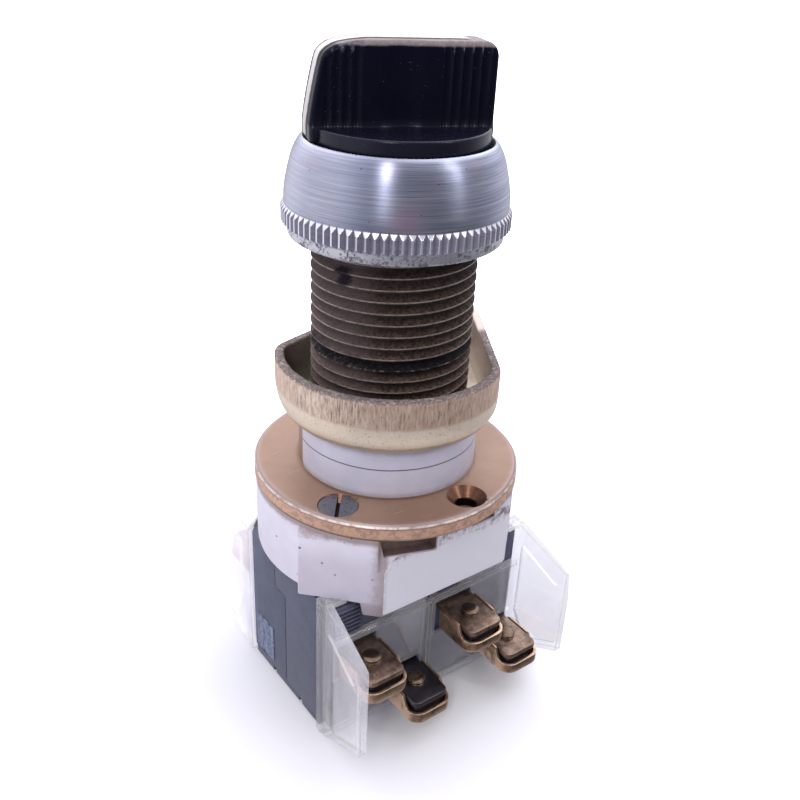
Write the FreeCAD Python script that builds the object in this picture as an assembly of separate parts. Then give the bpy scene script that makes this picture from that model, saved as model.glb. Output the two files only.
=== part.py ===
import FreeCAD, Part
import math
import os
from FreeCAD import Vector

# Rotary selector switch for a 30.5 mm panel hole: a wing knob on a shaft that runs
# down a long threaded barrel, a face cam and detent under a round flange, and two
# contact blocks side by side at the bottom.
# Millimetres. The origin is on the knob's axis at the flange's top face. +Z points
# towards the knob, -Y is the labelled front, -X is left as seen from the front.

# ---------------------------------------------------------------- shared sizes
RUN = 0.05                      # running clearance on a radius
FIT = 0.02                      # close clearance
SIDES = (-1, 1)

FLANGE_T = 3.5
COLLAR_R = 17.39
COLLAR_TOP = 10.5
STUB_R = 12.0                   # barrel's plain lower end
THREAD_R = 15.08
BARREL_TOP = 59.5
BARREL_BORE_R = 7.0
HOUSING_BOTTOM = -18.0

SCREW_CIRCLE_R = 21.8
SCREW_ANGLES = [-149.0, -82.0, 31.0, 98.0]
FITTED_SCREWS = [-149.0, 31.0]

SHAFT_R = 4.0
SHAFT_TOP_R = 3.0               # thinner end inside the knob
SHAFT_FLAT = 3.0                # distance of the lower flat from the axis
SHAFT_TOP_FLAT = 2.2
POINTER_ANGLE = 157.5

CAM_STROKE = 2.4
BLOCK_X = (0.15, 24.0)          # inner and outer faces of a block
BLOCK_CENTRE = sum(BLOCK_X) / 2
PIN_X = BLOCK_CENTRE
BLOCK_SCREW_X = 22.12
BLOCK_SCREW_Y = 9.0


# ---------------------------------------------------------------- helpers
def cylinder(radius, z_min, z_max, x=0.0, y=0.0):
    return Part.makeCylinder(radius, z_max - z_min, Vector(x, y, z_min), Vector(0, 0, 1))


def cone(low_r, high_r, z_min, height, x, y):
    return Part.makeCone(low_r, high_r, height, Vector(x, y, z_min), Vector(0, 0, 1))


def box(x_a, x_b, y_a, y_b, z_min, z_max):
    """Box between limits; the x and y limits may come in either order."""
    corner = Vector(min(x_a, x_b), min(y_a, y_b), z_min)
    return Part.makeBox(abs(x_b - x_a), abs(y_b - y_a), z_max - z_min, corner)


def poly_face(points):
    corners = [Vector(*point) for point in points]
    return Part.Face(Part.makePolygon(corners + corners[:1]))


def prism_z(points, z_min, z_max):
    return poly_face([(x, y, z_min) for x, y in points]).extrude(Vector(0, 0, z_max - z_min))


def prism_x(points, x_a, x_b):
    """Prism along x; the x limits may come in either order."""
    x_min, x_max = sorted((x_a, x_b))
    return poly_face([(x_min, y, z) for y, z in points]).extrude(Vector(x_max - x_min, 0, 0))


def prism_y(points, y_min, y_max):
    return poly_face([(x, y_min, z) for x, z in points]).extrude(Vector(0, y_max - y_min, 0))


def revolve(profile):
    face = poly_face([(radius, 0, z) for radius, z in profile])
    return face.revolve(Vector(0, 0, 0), Vector(0, 0, 1), 360)


def turned(shape, degrees):
    result = shape.copy()
    result.rotate(Vector(0, 0, 0), Vector(0, 0, 1), degrees)
    return result


def moved(shape, x, y=0.0, z=0.0):
    result = shape.copy()
    result.translate(Vector(x, y, z))
    return result


def mirror_y(shape):
    return shape.mirror(Vector(0, 0, 0), Vector(0, 1, 0))


def polar(radius, degrees):
    angle = math.radians(degrees)
    return radius * math.cos(angle), radius * math.sin(angle)


def round_front_corners(block, radius):
    """Round a box's vertical edges on its -Y face."""
    limit = block.BoundBox.YMin + 0.1
    edges = [e for e in block.Edges if e.BoundBox.YMax < limit and e.BoundBox.ZLength > 1e-3]
    return block.makeFillet(radius, edges)


def spring(coil_r, wire_r, length, turns):
    """Round-wire coil standing on z = 0."""
    rise = length - 2 * wire_r
    pitch = rise / turns
    helix = Part.makeHelix(pitch, rise, coil_r)
    normal = Vector(0, coil_r, pitch / math.tau)
    section = Part.Wire(Part.makeCircle(wire_r, Vector(coil_r, 0, 0), normal))
    return moved(Part.Wire(helix).makePipeShell([section], True, True), 0, 0, wire_r)


def block_screw_points(side):
    return [(side * BLOCK_SCREW_X, end * BLOCK_SCREW_Y) for end in SIDES]


def write(name, shapes):
    if not isinstance(shapes, list):
        shapes = [shapes]
    solids = [solid for shape in shapes for solid in shape.Solids]
    if not solids or any(s.Volume <= 0 or not s.isValid() for s in solids):
        raise ValueError("bad solid in " + name)
    result = solids[0] if len(solids) == 1 else Part.makeCompound(solids)
    result.exportStep(os.path.join("parts", name + ".step"))


# ---------------------------------------------------------------- threaded barrel
# 1-3/16 in by 12 per inch, cut as separate rings
THREAD_PITCH = 2.117
THREAD_DEPTH = 1.15
THREAD_START = 12.3
CREST_W = 0.45
FLANK_W = 0.70
ROOT_W = 0.25
NECK_R = 14.6                   # plain neck under the thread
BARREL_CHAMFER = 0.5
BORE_FLOOR = 4.0                # the wide bore ends here, the shaft hole goes on


def threaded_barrel():
    root_r = THREAD_R - THREAD_DEPTH
    profile = [(STUB_R, -FLANGE_T), (STUB_R, COLLAR_TOP), (NECK_R, COLLAR_TOP), (NECK_R, 12.0)]
    z = THREAD_START
    while z + THREAD_PITCH < BARREL_TOP - 0.6:
        flank_end = z + CREST_W + FLANK_W
        profile += [(THREAD_R, z), (THREAD_R, z + CREST_W),
                    (root_r, flank_end), (root_r, flank_end + ROOT_W)]
        z += THREAD_PITCH
    profile += [(THREAD_R, z), (THREAD_R, BARREL_TOP - BARREL_CHAMFER),
                (THREAD_R - BARREL_CHAMFER, BARREL_TOP),
                (BARREL_BORE_R, BARREL_TOP), (BARREL_BORE_R, BORE_FLOOR),
                (SHAFT_R + RUN, BORE_FLOOR), (SHAFT_R + RUN, -FLANGE_T)]
    return revolve(profile)


# ---------------------------------------------------------------- bezel ring
BEZEL_BOTTOM = 45.3
BEZEL_TOP = 61.9
BEZEL_BORE_R = 15.16
BEZEL_MOUTH_R = 16.3
BEZEL_THREAD_TOP = 54.0
# outer side, (radius, z)
BEZEL_OUTLINE = [
    (19.2, BEZEL_BOTTOM), (19.2, 47.2), (20.3, 47.5), (20.3, 50.7), (19.85, 51.0),
    (19.7, 52.5), (19.5, 54.2), (19.1, 56.2), (18.6, 58.2), (18.26, 59.2),
    (17.84, 60.2), (17.3, 61.1), (16.9, 61.6), (16.5, BEZEL_TOP)]


def bezel_ring():
    inside = [(BEZEL_MOUTH_R, BEZEL_TOP), (BEZEL_MOUTH_R, BEZEL_THREAD_TOP),
              (BEZEL_BORE_R, BEZEL_THREAD_TOP - 0.6), (BEZEL_BORE_R, BEZEL_BOTTOM)]
    return revolve(BEZEL_OUTLINE + inside)


# ---------------------------------------------------------------- locating cup
CUP_R = 21.85
CUP_WIDE_R = 28.5               # the bowl reaches further out in one sector
CUP_WIDE_SECTOR = (-8.05, 70.0)
CUP_WALL = 1.8
CUP_BOTTOM = COLLAR_TOP
CUP_RIM = 22.2
CUP_KNUCKLE = 17.3              # the rounded foot ends here
CUP_FOOT_IN = 3.65              # how far the foot stands in from the rim
CUP_FOOT_STEPS = 6
# (direction in degrees, distance): two flats, then facets round the left back corner
CUP_FLATS = [(-31.8, 20.0), (106.8, 17.5), (118.0, 19.40), (129.0, 20.77), (140.0, 21.59)]


def cup_bowl(rim_r, inset):
    bottom = CUP_BOTTOM + inset
    foot_r = rim_r - CUP_FOOT_IN - inset
    outline = [(0.0, bottom), (foot_r, bottom)]
    for i in range(1, CUP_FOOT_STEPS + 1):
        angle = math.radians(90.0 * i / CUP_FOOT_STEPS)
        outline.append((foot_r + CUP_FOOT_IN * math.sin(angle),
                        CUP_KNUCKLE - (CUP_KNUCKLE - bottom) * math.cos(angle)))
    top = CUP_RIM if inset == 0 else CUP_RIM + 1.0
    outline += [(rim_r - inset, top), (0.0, top)]
    return revolve(outline)


def cup_form(inset):
    """Solid cup, shrunk by the inset on its sides and floor."""
    bottom = CUP_BOTTOM + inset
    start, end = CUP_WIDE_SECTOR
    wedge = prism_z([(0, 0), polar(60, start), polar(60, (start + end) / 2), polar(60, end)],
                    bottom - 1, CUP_RIM + 5)
    wide = cup_bowl(CUP_WIDE_R, inset).common(wedge)
    form = cup_bowl(CUP_R, inset).fuse(wide).removeSplitter()
    for direction, distance in CUP_FLATS:
        cutter = box(distance - inset, 60, -60, 60, bottom - 5, CUP_RIM + 5)
        form = form.cut(turned(cutter, direction))
    return form


def locating_cup():
    cup = cup_form(0.0).cut(cup_form(CUP_WALL))
    return cup.cut(cylinder(THREAD_R + 0.08, CUP_BOTTOM - 1, CUP_BOTTOM + 4))


# ---------------------------------------------------------------- flange and collar
FLANGE_R = 26.24
CSK_R = 3.8
SCREW_HOLE_R = 2.1
LABEL_T = 0.15
LABEL_GAP = [-9, 40, 100, 167.5]    # degrees, first and last bound the open part
HEAD_R = CSK_R - 0.2
HEAD_TOP = -0.17
SHANK_R = 1.7
SLOT_ANGLE = -38.0


def flange_base():
    flange = cylinder(FLANGE_R, -FLANGE_T, 0.0)
    rims = [e for e in flange.Edges if abs(e.BoundBox.ZMin - e.BoundBox.ZMax) < 1e-6]
    flange = flange.makeChamfer(0.5, rims)
    flange = flange.fuse(cylinder(COLLAR_R, 0.0, COLLAR_TOP)).removeSplitter()
    flange = flange.cut(cylinder(STUB_R + 0.03, -FLANGE_T - 1, COLLAR_TOP + 1))
    depth = CSK_R - SCREW_HOLE_R
    for angle in SCREW_ANGLES:
        x, y = polar(SCREW_CIRCLE_R, angle)
        flange = flange.cut(cylinder(SCREW_HOLE_R, -FLANGE_T - 1, 1, x, y))
        flange = flange.cut(cone(SCREW_HOLE_R, CSK_R, -depth, depth, x, y))
    return flange


def id_label():
    """Label wrapped part of the way round the collar."""
    label = cylinder(COLLAR_R + LABEL_T, 0.2, 10.2).cut(cylinder(COLLAR_R, 0.0, 10.6))
    return label.cut(prism_z([(0, 0)] + [polar(40, angle) for angle in LABEL_GAP], -1, 12))


def flange_screws():
    screws = []
    depth = HEAD_R - SHANK_R
    slot = turned(box(-0.45, 0.45, -5, 5, -1.15, 1.0), SLOT_ANGLE)
    for angle in FITTED_SCREWS:
        x, y = polar(SCREW_CIRCLE_R, angle)
        head = cone(SHANK_R, HEAD_R, HEAD_TOP - depth, depth, x, y)
        screw = head.fuse(cylinder(SHANK_R, -11.0, -1.5, x, y)).removeSplitter()
        screws.append(screw.cut(moved(slot, x, y)))
    return screws


# ---------------------------------------------------------------- actuator housing
HOUSING_R = 26.0
HOUSING_FLOOR = 2.5
CAVITY_R = 17.6
FRONT_Y = -21.2                 # flat front
FRONT_HALF_X = 15.3
APRON_T = 2.6
APRON_BOTTOM = -20.6
APRON_TOP = -16.0
PAD_SUM = -36.35                # x + y on the left front corner pad's face
BALL_R = 2.0
BALL_Z = -12.0
PIN_R = 2.0
PILOTS = [(-149.0, -11.2), (31.0, -11.2), (98.0, -8.5)]     # flange screw angle, hole bottom
# notches in the front under the flange, (x, z)
LEFT_NOTCH = [(-15.9, -3.0), (-2.8, -3.0), (-2.8, -9.9), (-15.3, -7.0)]
RIGHT_NOTCH = [(5.6, -3.0), (11.4, -3.0), (11.4, -8.1), (5.6, -8.3)]
# label on the flat front, upper left corner rounded, (x, z)
LABEL_OUTLINE = [
    (-15.0, -20.3), (15.2, -20.3), (15.2, -6.6), (11.6, -6.6), (11.6, -8.3),
    (5.4, -8.5), (5.4, -6.6), (-2.6, -6.6), (-2.6, -10.2), (-12.2, -8.0),
    (-13.3, -8.2), (-14.3, -9.0), (-14.9, -10.2), (-15.0, -11.0)]


def actuator_housing():
    left = -FRONT_HALF_X
    apron_back = FRONT_Y + APRON_T
    housing = cylinder(HOUSING_R, HOUSING_BOTTOM, -FLANGE_T)
    pad = [(left, PAD_SUM - left), (-26.5, PAD_SUM + 26.5),
           (-24.4, -7.0), (-12.0, -7.0), (-12.0, -19.0)]
    housing = housing.fuse(prism_z(pad, HOUSING_BOTTOM, -4.5))
    housing = housing.cut(box(-30, 30, -40, FRONT_Y, HOUSING_BOTTOM - 5, 0))
    # apron below the flat front, with a tab turning the left corner
    apron = prism_y([(left, APRON_TOP), (FRONT_HALF_X, APRON_TOP),
                     (FRONT_HALF_X, APRON_BOTTOM), (left, APRON_BOTTOM)], FRONT_Y, apron_back)
    tab = prism_z([(left, FRONT_Y), (-18.5, PAD_SUM + 18.5), (-17.4, PAD_SUM + 20.0),
                   (left, apron_back)], APRON_BOTTOM, APRON_TOP)
    housing = housing.fuse([apron, tab]).removeSplitter()
    housing = housing.cut(cylinder(CAVITY_R, HOUSING_BOTTOM + HOUSING_FLOOR, 0))
    # detent boss with its radial ball bore
    boss = box(-4.0, 4.0, 9.3, 18.6, HOUSING_BOTTOM + 1.0, -9.5)
    housing = housing.fuse(boss).removeSplitter()
    housing = housing.cut(Part.makeCylinder(BALL_R + RUN, 16.3, Vector(0, 8.0, BALL_Z),
                                            Vector(0, 1, 0)))
    for notch, depth in ((LEFT_NOTCH, 2.4), (RIGHT_NOTCH, 1.8)):
        housing = housing.cut(prism_y(notch, FRONT_Y - 1, FRONT_Y + depth))
    # actuator pin holes, flange screw holes, block screw holes
    for side in SIDES:
        housing = housing.cut(cylinder(PIN_R + RUN, HOUSING_BOTTOM - 1, -10, side * PIN_X, 0))
    for angle, bottom in PILOTS:
        x, y = polar(SCREW_CIRCLE_R, angle)
        housing = housing.cut(cylinder(SHANK_R + FIT, bottom, -3, x, y))
    for side in SIDES:
        for x, y in block_screw_points(side):
            housing = housing.cut(cylinder(1.22, HOUSING_BOTTOM - 1, -12.4, x, y))
    return housing


# ---------------------------------------------------------------- shaft and its fittings
SHAFT_BOTTOM = -15.3
SHAFT_SHOULDER = 59.9
JOURNAL_R = 6.7
GROOVE_LEVELS = (43.0, 47.0)    # O-ring grooves in the journal


def selector_shaft():
    shaft = cylinder(SHAFT_R, SHAFT_BOTTOM, SHAFT_SHOULDER)
    shaft = shaft.fuse([cylinder(JOURNAL_R, 40.0, 50.0),
                        cylinder(SHAFT_TOP_R, 59.0, 70.0)]).removeSplitter()
    for z in GROOVE_LEVELS:
        groove = cylinder(JOURNAL_R + 0.1, z - 1.05, z + 1.05).cut(cylinder(5.0, z - 2, z + 2))
        shaft = shaft.cut(groove)
    shaft = shaft.cut(box(-5, 5, SHAFT_TOP_FLAT, 6, SHAFT_SHOULDER, 71))
    shaft = shaft.cut(box(-5, 5, SHAFT_FLAT, 6, -16, -3.9))
    # circlip groove, then the screw hole in the top
    shaft = shaft.cut(cylinder(4.5, -14.85, -14.05).cut(cylinder(3.3, -16, -13)))
    shaft = shaft.cut(cylinder(1.5, 61.0, 71))
    return turned(shaft, POINTER_ANGLE)


def shaft_orings():
    return [Part.makeTorus(5.95, 0.94, Vector(0, 0, z)) for z in GROOVE_LEVELS]


def shaft_bush():
    bush = cylinder(BARREL_BORE_R - FIT, 51.5, BARREL_TOP - 0.1)
    return bush.cut(cylinder(SHAFT_R + RUN, 51, BARREL_TOP))


def shaft_circlip():
    clip = cylinder(5.4, -14.8, -14.1).cut(cylinder(3.32, -15, -14))
    return turned(clip.cut(box(-1.6, 1.6, -7, 0, -15, -14)), POINTER_ANGLE)


def d_bore(z_min, z_max):
    """Cutter for a hole that fits the shaft's lower flat."""
    bore = cylinder(SHAFT_R + FIT, z_min, z_max)
    bore = bore.cut(box(-6, 6, SHAFT_FLAT + FIT, 7, z_min - 1, z_max + 1))
    return turned(bore, POINTER_ANGLE)


# ---------------------------------------------------------------- cam and actuators
CAM_TOP = -4.2
CAM_FACE = -6.2                 # highest level of the underside
CAM_SWEEP = 135.0
CAM_R = 16.5
CAM_BORE_R = 7.6
CAM_STATIONS = 48
PIN_GAP = 0.1
PIN_LENGTH = 11.7
DOME_R = 6.0


def cam_height(angle):
    """Height of the underside from CAM_FACE: a rise, a dwell, a fall and a dwell."""
    if angle <= CAM_SWEEP:
        return -CAM_STROKE * (1.0 - angle / CAM_SWEEP)
    if angle <= 180.0:
        return 0.0
    if angle <= 180.0 + CAM_SWEEP:
        return -CAM_STROKE * (angle - 180.0) / CAM_SWEEP
    return -CAM_STROKE


def cam_ring():
    stations = []
    for i in range(CAM_STATIONS):
        angle = 360.0 * i / CAM_STATIONS
        z = CAM_FACE + cam_height(angle)
        inner, outer = polar(CAM_BORE_R, angle), polar(CAM_R, angle)
        stations.append([(*inner, z), (*outer, z), (*inner, CAM_TOP), (*outer, CAM_TOP)])
    faces = []
    for i, station in enumerate(stations):
        inner, outer, inner_top, outer_top = station
        next_inner, next_outer, next_inner_top, next_outer_top = stations[(i + 1) % CAM_STATIONS]
        faces += [poly_face([inner, outer, next_outer]),
                  poly_face([inner, next_outer, next_inner]),
                  poly_face([outer, next_outer, next_outer_top, outer_top]),
                  poly_face([inner, next_inner, next_inner_top, inner_top]),
                  poly_face([inner_top, outer_top, next_outer_top, next_inner_top])]
    solid = Part.Solid(Part.Shell(faces))
    if solid.Volume < 0:        # the shell may come out facing inwards
        solid.reverse()
    return solid


def cam():
    hub = [cylinder(8.2, -6.0, CAM_TOP), cylinder(6.0, -10.0, CAM_TOP)]
    return cam_ring().fuse(hub).cut(d_bore(-11, -3))


def actuator(x, drop):
    """Domed follower pin with a collar, pressed down by the drop."""
    top = CAM_FACE - PIN_GAP - drop
    dome_foot = top - (DOME_R - math.sqrt(DOME_R ** 2 - PIN_R ** 2)) - 0.3
    dome = Part.makeSphere(DOME_R, Vector(x, 0, top - DOME_R)).common(
        cylinder(PIN_R, dome_foot, top + 1, x, 0))
    pin = cylinder(PIN_R, top - PIN_LENGTH, dome_foot, x, 0).fuse(dome)
    return pin.fuse(cylinder(3.5, top - 2.5, top - 1.5, x, 0)).removeSplitter()


# ---------------------------------------------------------------- detent
WHEEL_R = 8.0
WHEEL_Z = (-14.0, -10.0)
NOTCH_R = 2.3
NOTCH_DEPTH = 1.2
NOTCHES = 8
BALL_Y = 10.15
DETENT_SPRING_Y = (BALL_Y + BALL_R + 0.1, 24.2)


def detent_wheel():
    bottom, top = WHEEL_Z[0] - 1, WHEEL_Z[1] + 1
    wheel = cylinder(WHEEL_R, *WHEEL_Z)
    for i in range(NOTCHES):
        x, y = polar(WHEEL_R - NOTCH_DEPTH + NOTCH_R, 90.0 + 360.0 / NOTCHES * i)
        wheel = wheel.cut(cylinder(NOTCH_R, bottom, top, x, y))
    return wheel.cut(d_bore(bottom, top))


def detent_spring():
    start, end = DETENT_SPRING_Y
    coil = spring(1.55, 0.28, end - start, 7)
    coil.rotate(Vector(0, 0, 0), Vector(1, 0, 0), -90)
    return moved(coil, 0, start, BALL_Z)


# ---------------------------------------------------------------- knob
# modelled with the pointer towards -X, then turned to the pointer angle
KNOB_R = 15.5
KNOB_BOTTOM = 60.2
KNOB_DISC_TOP = 64.3
KNOB_TOP = 77.6
WING_FOOT = 62.1                # the pointer end reaches down to just above the bezel ring
WING_HALF_T = 4.5
POINTER_X = -16.1
INSERT_HALF_W = 2.0
INSERT_T = 1.2
SCOOP_R = 9.0
KNOB_TURN = POINTER_ANGLE + 180
FLUTES_X = (-13.2, -11.6, -10.0, -8.4, 6.6, 8.2, 9.8, 11.4, 13.0)
# side outline from tail (+x) to pointer (-x), (x, z)
WING_OUTLINE = [
    (15.2, KNOB_DISC_TOP - 1.5), (15.2, 75.6), (14.6, 77.0), (13.2, KNOB_TOP),
    (-7.8, 77.4), (-11.6, 76.8), (-14.0, 75.0), (-15.2, 70.0),
    (POINTER_X, KNOB_DISC_TOP + 0.2), (POINTER_X, WING_FOOT)]
# room for the strip along the crest and down the pointer end, (x, z)
STRIP_OUTLINE = [
    (11.0, KNOB_TOP + 1), (-20, KNOB_TOP + 1), (-20, WING_FOOT - 1),
    (POINTER_X + INSERT_T, WING_FOOT - 1), (POINTER_X + INSERT_T, KNOB_DISC_TOP),
    (-15.2 + INSERT_T, 70.0), (-13.1, 74.4), (-11.1, 75.7), (-7.6, 76.3),
    (11.0, KNOB_TOP - INSERT_T)]


def wing():
    return prism_y(WING_OUTLINE, -WING_HALF_T, WING_HALF_T)


def strip_space():
    return prism_y(STRIP_OUTLINE, -INSERT_HALF_W, INSERT_HALF_W)


def below_wing():
    return cylinder(60, KNOB_BOTTOM - 5, WING_FOOT)


def knob():
    disc = cylinder(KNOB_R, KNOB_BOTTOM, KNOB_DISC_TOP)
    top_rim = [e for e in disc.Edges if e.BoundBox.ZMin > KNOB_DISC_TOP - 0.01]
    body = disc.makeFillet(0.8, top_rim).fuse(wing()).removeSplitter()
    # grip flutes and a shallow scoop on each side of the wing
    for side in SIDES:
        for x in FLUTES_X:
            body = body.cut(cylinder(0.62, KNOB_DISC_TOP, KNOB_TOP + 1,
                                     x, side * (WING_HALF_T + 0.2)))
        body = body.cut(cylinder(SCOOP_R, KNOB_DISC_TOP, KNOB_DISC_TOP + 20,
                                 -0.9, side * (WING_HALF_T + 8.3)))
    body = body.cut(strip_space().cut(below_wing()))
    # D-shaped shaft hole, then the stepped screw hole
    bore = cylinder(SHAFT_TOP_R + FIT, KNOB_BOTTOM - 1, 70.1)
    body = body.cut(bore.cut(box(-6, 6, -7, -SHAFT_TOP_FLAT - FIT, KNOB_BOTTOM - 2, 71)))
    body = body.cut(cylinder(1.52, 69, 74)).cut(cylinder(1.92, 73.0, 77.0))
    return turned(body, KNOB_TURN)


def knob_insert():
    return turned(wing().common(strip_space()).cut(below_wing()), KNOB_TURN)


def knob_screw():
    screw = cylinder(1.48, 61.5, 73.2).fuse(cylinder(1.9, 73.0, 75.2)).removeSplitter()
    return screw.cut(box(-0.35, 0.35, -3, 3, 74.4, 76))


# ---------------------------------------------------------------- terminals
# made round the block's centre; each also stands mirrored at the back
TERMINAL_X = 5.6
UPPER_TERMINAL = -29.0
LOWER_TERMINAL = -40.7
TERMINALS = [(-TERMINAL_X, UPPER_TERMINAL), (TERMINAL_X, LOWER_TERMINAL)]
STRAP_T = 1.2
STRAP_HALF_W = 4.2
STRAP_FRONT_Y = -27.4
CONTACT_R = 1.8
CONTACT_H = 0.8
CONTACT_Y = 9.4
TERMINAL_SCREW_Y = -22.0
TERMINAL_SCREW_R = 1.88
CLAMP_FRONT_Y = -28.4
CLAMP_HALF_W = 4.9
CLAMP_DEPTH = 4.7
CLAMP_WALL = 0.6


def strap(x, level):
    """Wide tongue outside, narrow arm with a contact inside."""
    bottom = level - STRAP_T
    tongue = box(x - STRAP_HALF_W, x + STRAP_HALF_W, STRAP_FRONT_Y, -15.0, bottom, level)
    tongue = round_front_corners(tongue, 1.3)
    arm = box(x - 2.3, x + 2.3, -15.2, -7.2, bottom, level)
    result = tongue.fuse(arm).removeSplitter()
    result = result.cut(cylinder(1.9, level - 3, level + 1, x, TERMINAL_SCREW_Y))
    # the upper strap's contact faces down, the lower strap's faces up
    foot = level if level == LOWER_TERMINAL else bottom - CONTACT_H
    contact = cylinder(CONTACT_R, foot, foot + CONTACT_H, x, -CONTACT_Y)
    return result.fuse(contact).removeSplitter()


def saddle_clamp(x, level):
    """Stamped tray: two side walls and a lower front lip."""
    bottom = level - CLAMP_DEPTH
    inner_half_w = CLAMP_HALF_W - CLAMP_WALL
    outer = box(x - CLAMP_HALF_W, x + CLAMP_HALF_W, CLAMP_FRONT_Y, -18.0, bottom, level + 0.1)
    inner = box(x - inner_half_w, x + inner_half_w, CLAMP_FRONT_Y + CLAMP_WALL, -17.0,
                bottom + CLAMP_WALL, level + 1.0)
    tray = round_front_corners(outer, 2.8).cut(round_front_corners(inner, 2.2))
    tray = tray.cut(box(x - 6, x + 6, -31, CLAMP_FRONT_Y + 3.2, level - 2.6, level + 1.0))
    return tray.cut(cylinder(2.0, level - 7, level, x, TERMINAL_SCREW_Y))


def terminal_screw(x, level):
    """Screw with its slotted head under the clamp."""
    y = TERMINAL_SCREW_Y
    head_top = level - CLAMP_DEPTH - FIT
    shank = cylinder(TERMINAL_SCREW_R, head_top - 0.1, level + 0.8, x, y)
    tip = cone(TERMINAL_SCREW_R, 1.3, level + 0.8, 0.4, x, y)
    head = cylinder(3.4, head_top - 2.3, head_top, x, y)
    screw = shank.fuse([tip, head]).removeSplitter()
    return screw.cut(box(x - 0.4, x + 0.4, y - 4, y + 4, head_top - 3, head_top - 1.3))


def at_terminals(make, centre):
    """One part per terminal of a block, front and back."""
    result = []
    for x, level in TERMINALS:
        part = make(x, level)
        result += [moved(part, centre), moved(mirror_y(part), centre)]
    return result


# ---------------------------------------------------------------- contact blocks
BLOCK_TOP = HOUSING_BOTTOM - 0.1
BLOCK_BOTTOM = -51.0
BLOCK_SEAM = -48.9
BLOCK_HALF_Y = 13.3
BLOCK_FACE_Y = 16.1
BLOCK_SCREW_HOLE_R = 1.3
CAVITY_HALF_X = 8.2
CAVITY_HALF_Y = 11.5
CAVITY_TOP = -21.1
STEM_R = 3.0
PLUNGER_HALF_X = 7.9
PLUNGER_BOTTOM = -38.5
SPRING_SEAT = -48.4
BRIDGE_T = 1.2
# x from the block's centre, underside, contact's bottom and top from the underside
BRIDGES = [(-TERMINAL_X, -33.1, (BRIDGE_T, 2.05)), (TERMINAL_X, -36.65, (-0.8, 0.0))]


def block_body(side, centre, straps):
    body = box(side * BLOCK_X[0], side * BLOCK_X[1], -BLOCK_HALF_Y, BLOCK_HALF_Y,
               BLOCK_SEAM, BLOCK_TOP)
    body = body.fuse([box(side * 0.45, side * 23.0, end * BLOCK_FACE_Y,
                          end * (BLOCK_HALF_Y - 0.2), BLOCK_SEAM - 0.6, BLOCK_TOP)
                      for end in SIDES]).removeSplitter()
    # raised pads on the front and back faces, above the terminals
    for end in SIDES:
        body = body.fuse(box(centre - 10.4, centre - 4.9, end * 16.0, end * 17.3, -25.8, -20.9))
    body = body.removeSplitter()
    body = body.cut(box(centre - CAVITY_HALF_X, centre + CAVITY_HALF_X,
                        -CAVITY_HALF_Y, CAVITY_HALF_Y, -60, CAVITY_TOP))
    body = body.cut(cylinder(STEM_R + RUN, CAVITY_TOP - 1, BLOCK_TOP + 1, centre, 0))
    for x, y in block_screw_points(side):
        body = body.cut(cylinder(BLOCK_SCREW_HOLE_R, -60, -10, x, y))
    for part in straps:
        body = body.cut(part)
    return body


def block_base(side, centre):
    base = box(side * 0.4, side * 23.75, -13.0, 13.0, BLOCK_BOTTOM, BLOCK_SEAM)
    spigot = box(centre - 8.0, centre + 8.0, -11.3, 11.3, BLOCK_SEAM - 0.5, BLOCK_SEAM + 0.4)
    base = base.fuse(spigot).removeSplitter()
    for x, y in block_screw_points(side):
        base = base.cut(cylinder(BLOCK_SCREW_HOLE_R, -60, -40, x, y))
    return base


def bridge_bar(x, z, gap=0.0):
    return box(x - 2.2 - gap, x + 2.2 + gap, -10.9 - gap, 10.9 + gap, z - gap, z + BRIDGE_T + gap)


def plunger(centre, drop):
    carrier = box(centre - PLUNGER_HALF_X, centre + PLUNGER_HALF_X, -3.4, 3.4,
                  PLUNGER_BOTTOM - drop, -24.2 - drop)
    stem = cylinder(STEM_R, -24.5 - drop, BLOCK_TOP - drop, centre, 0)
    carrier = carrier.fuse(stem).removeSplitter()
    for x, z, _ in BRIDGES:
        carrier = carrier.cut(bridge_bar(centre + x, z - drop, FIT))
    return carrier


def bridges(centre, drop):
    bars = []
    for x, z, (low, high) in BRIDGES:
        bar = bridge_bar(centre + x, z - drop)
        for end in SIDES:
            bar = bar.fuse(cylinder(CONTACT_R, z + low - drop, z + high - drop,
                                    centre + x, end * CONTACT_Y))
        bars.append(bar.removeSplitter())
    return bars


def return_spring(centre, drop):
    coil = spring(2.9, 0.35, PLUNGER_BOTTOM - 0.1 - drop - SPRING_SEAT, 5)
    return moved(coil, centre, 0, SPRING_SEAT)


def block_screws():
    """Long screws from the blocks' undersides into the housing."""
    screws = []
    for side in SIDES:
        for x, y in block_screw_points(side):
            slot = box(x - 0.2, x + 0.2, y - 2, y + 2, -52, -50.3)
            screws.append(cylinder(1.2, -50.9, -12.6, x, y).cut(slot))
    return screws


# ---------------------------------------------------------------- clear terminal covers
FIN_X = (23.1, 24.7)
FIN_SPLAY = 1.2                 # the fins lean outwards towards their free ends
FIN_BEND_Y = -17.5
FIN_END_Y = -30.7
RECESS_DEPTH = 0.45
# fin and its shallow outer recess, (y, z)
FIN_OUTLINE = [(-13.4, -18.1), (-17.0, -17.0), (-30.6, -22.0),
               (-30.6, -42.3), (-14.2, -51.0), (-13.4, -50.4)]
RECESS_OUTLINE = [(-17.0, -22.4), (-27.4, -26.2), (-29.2, -25.6),
                  (-29.2, -41.6), (-20.4, -46.4), (-17.0, -40.5)]
# ledge for the right block, (x, y)
LEDGE_OUTLINE = [(24.7, -13.6), (23.3, -13.6), (20.1, -16.8), (24.7, -16.8)]


def sided_prism(points, side, z_min, z_max):
    return prism_z([(side * x, y) for x, y in points], z_min, z_max)


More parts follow.
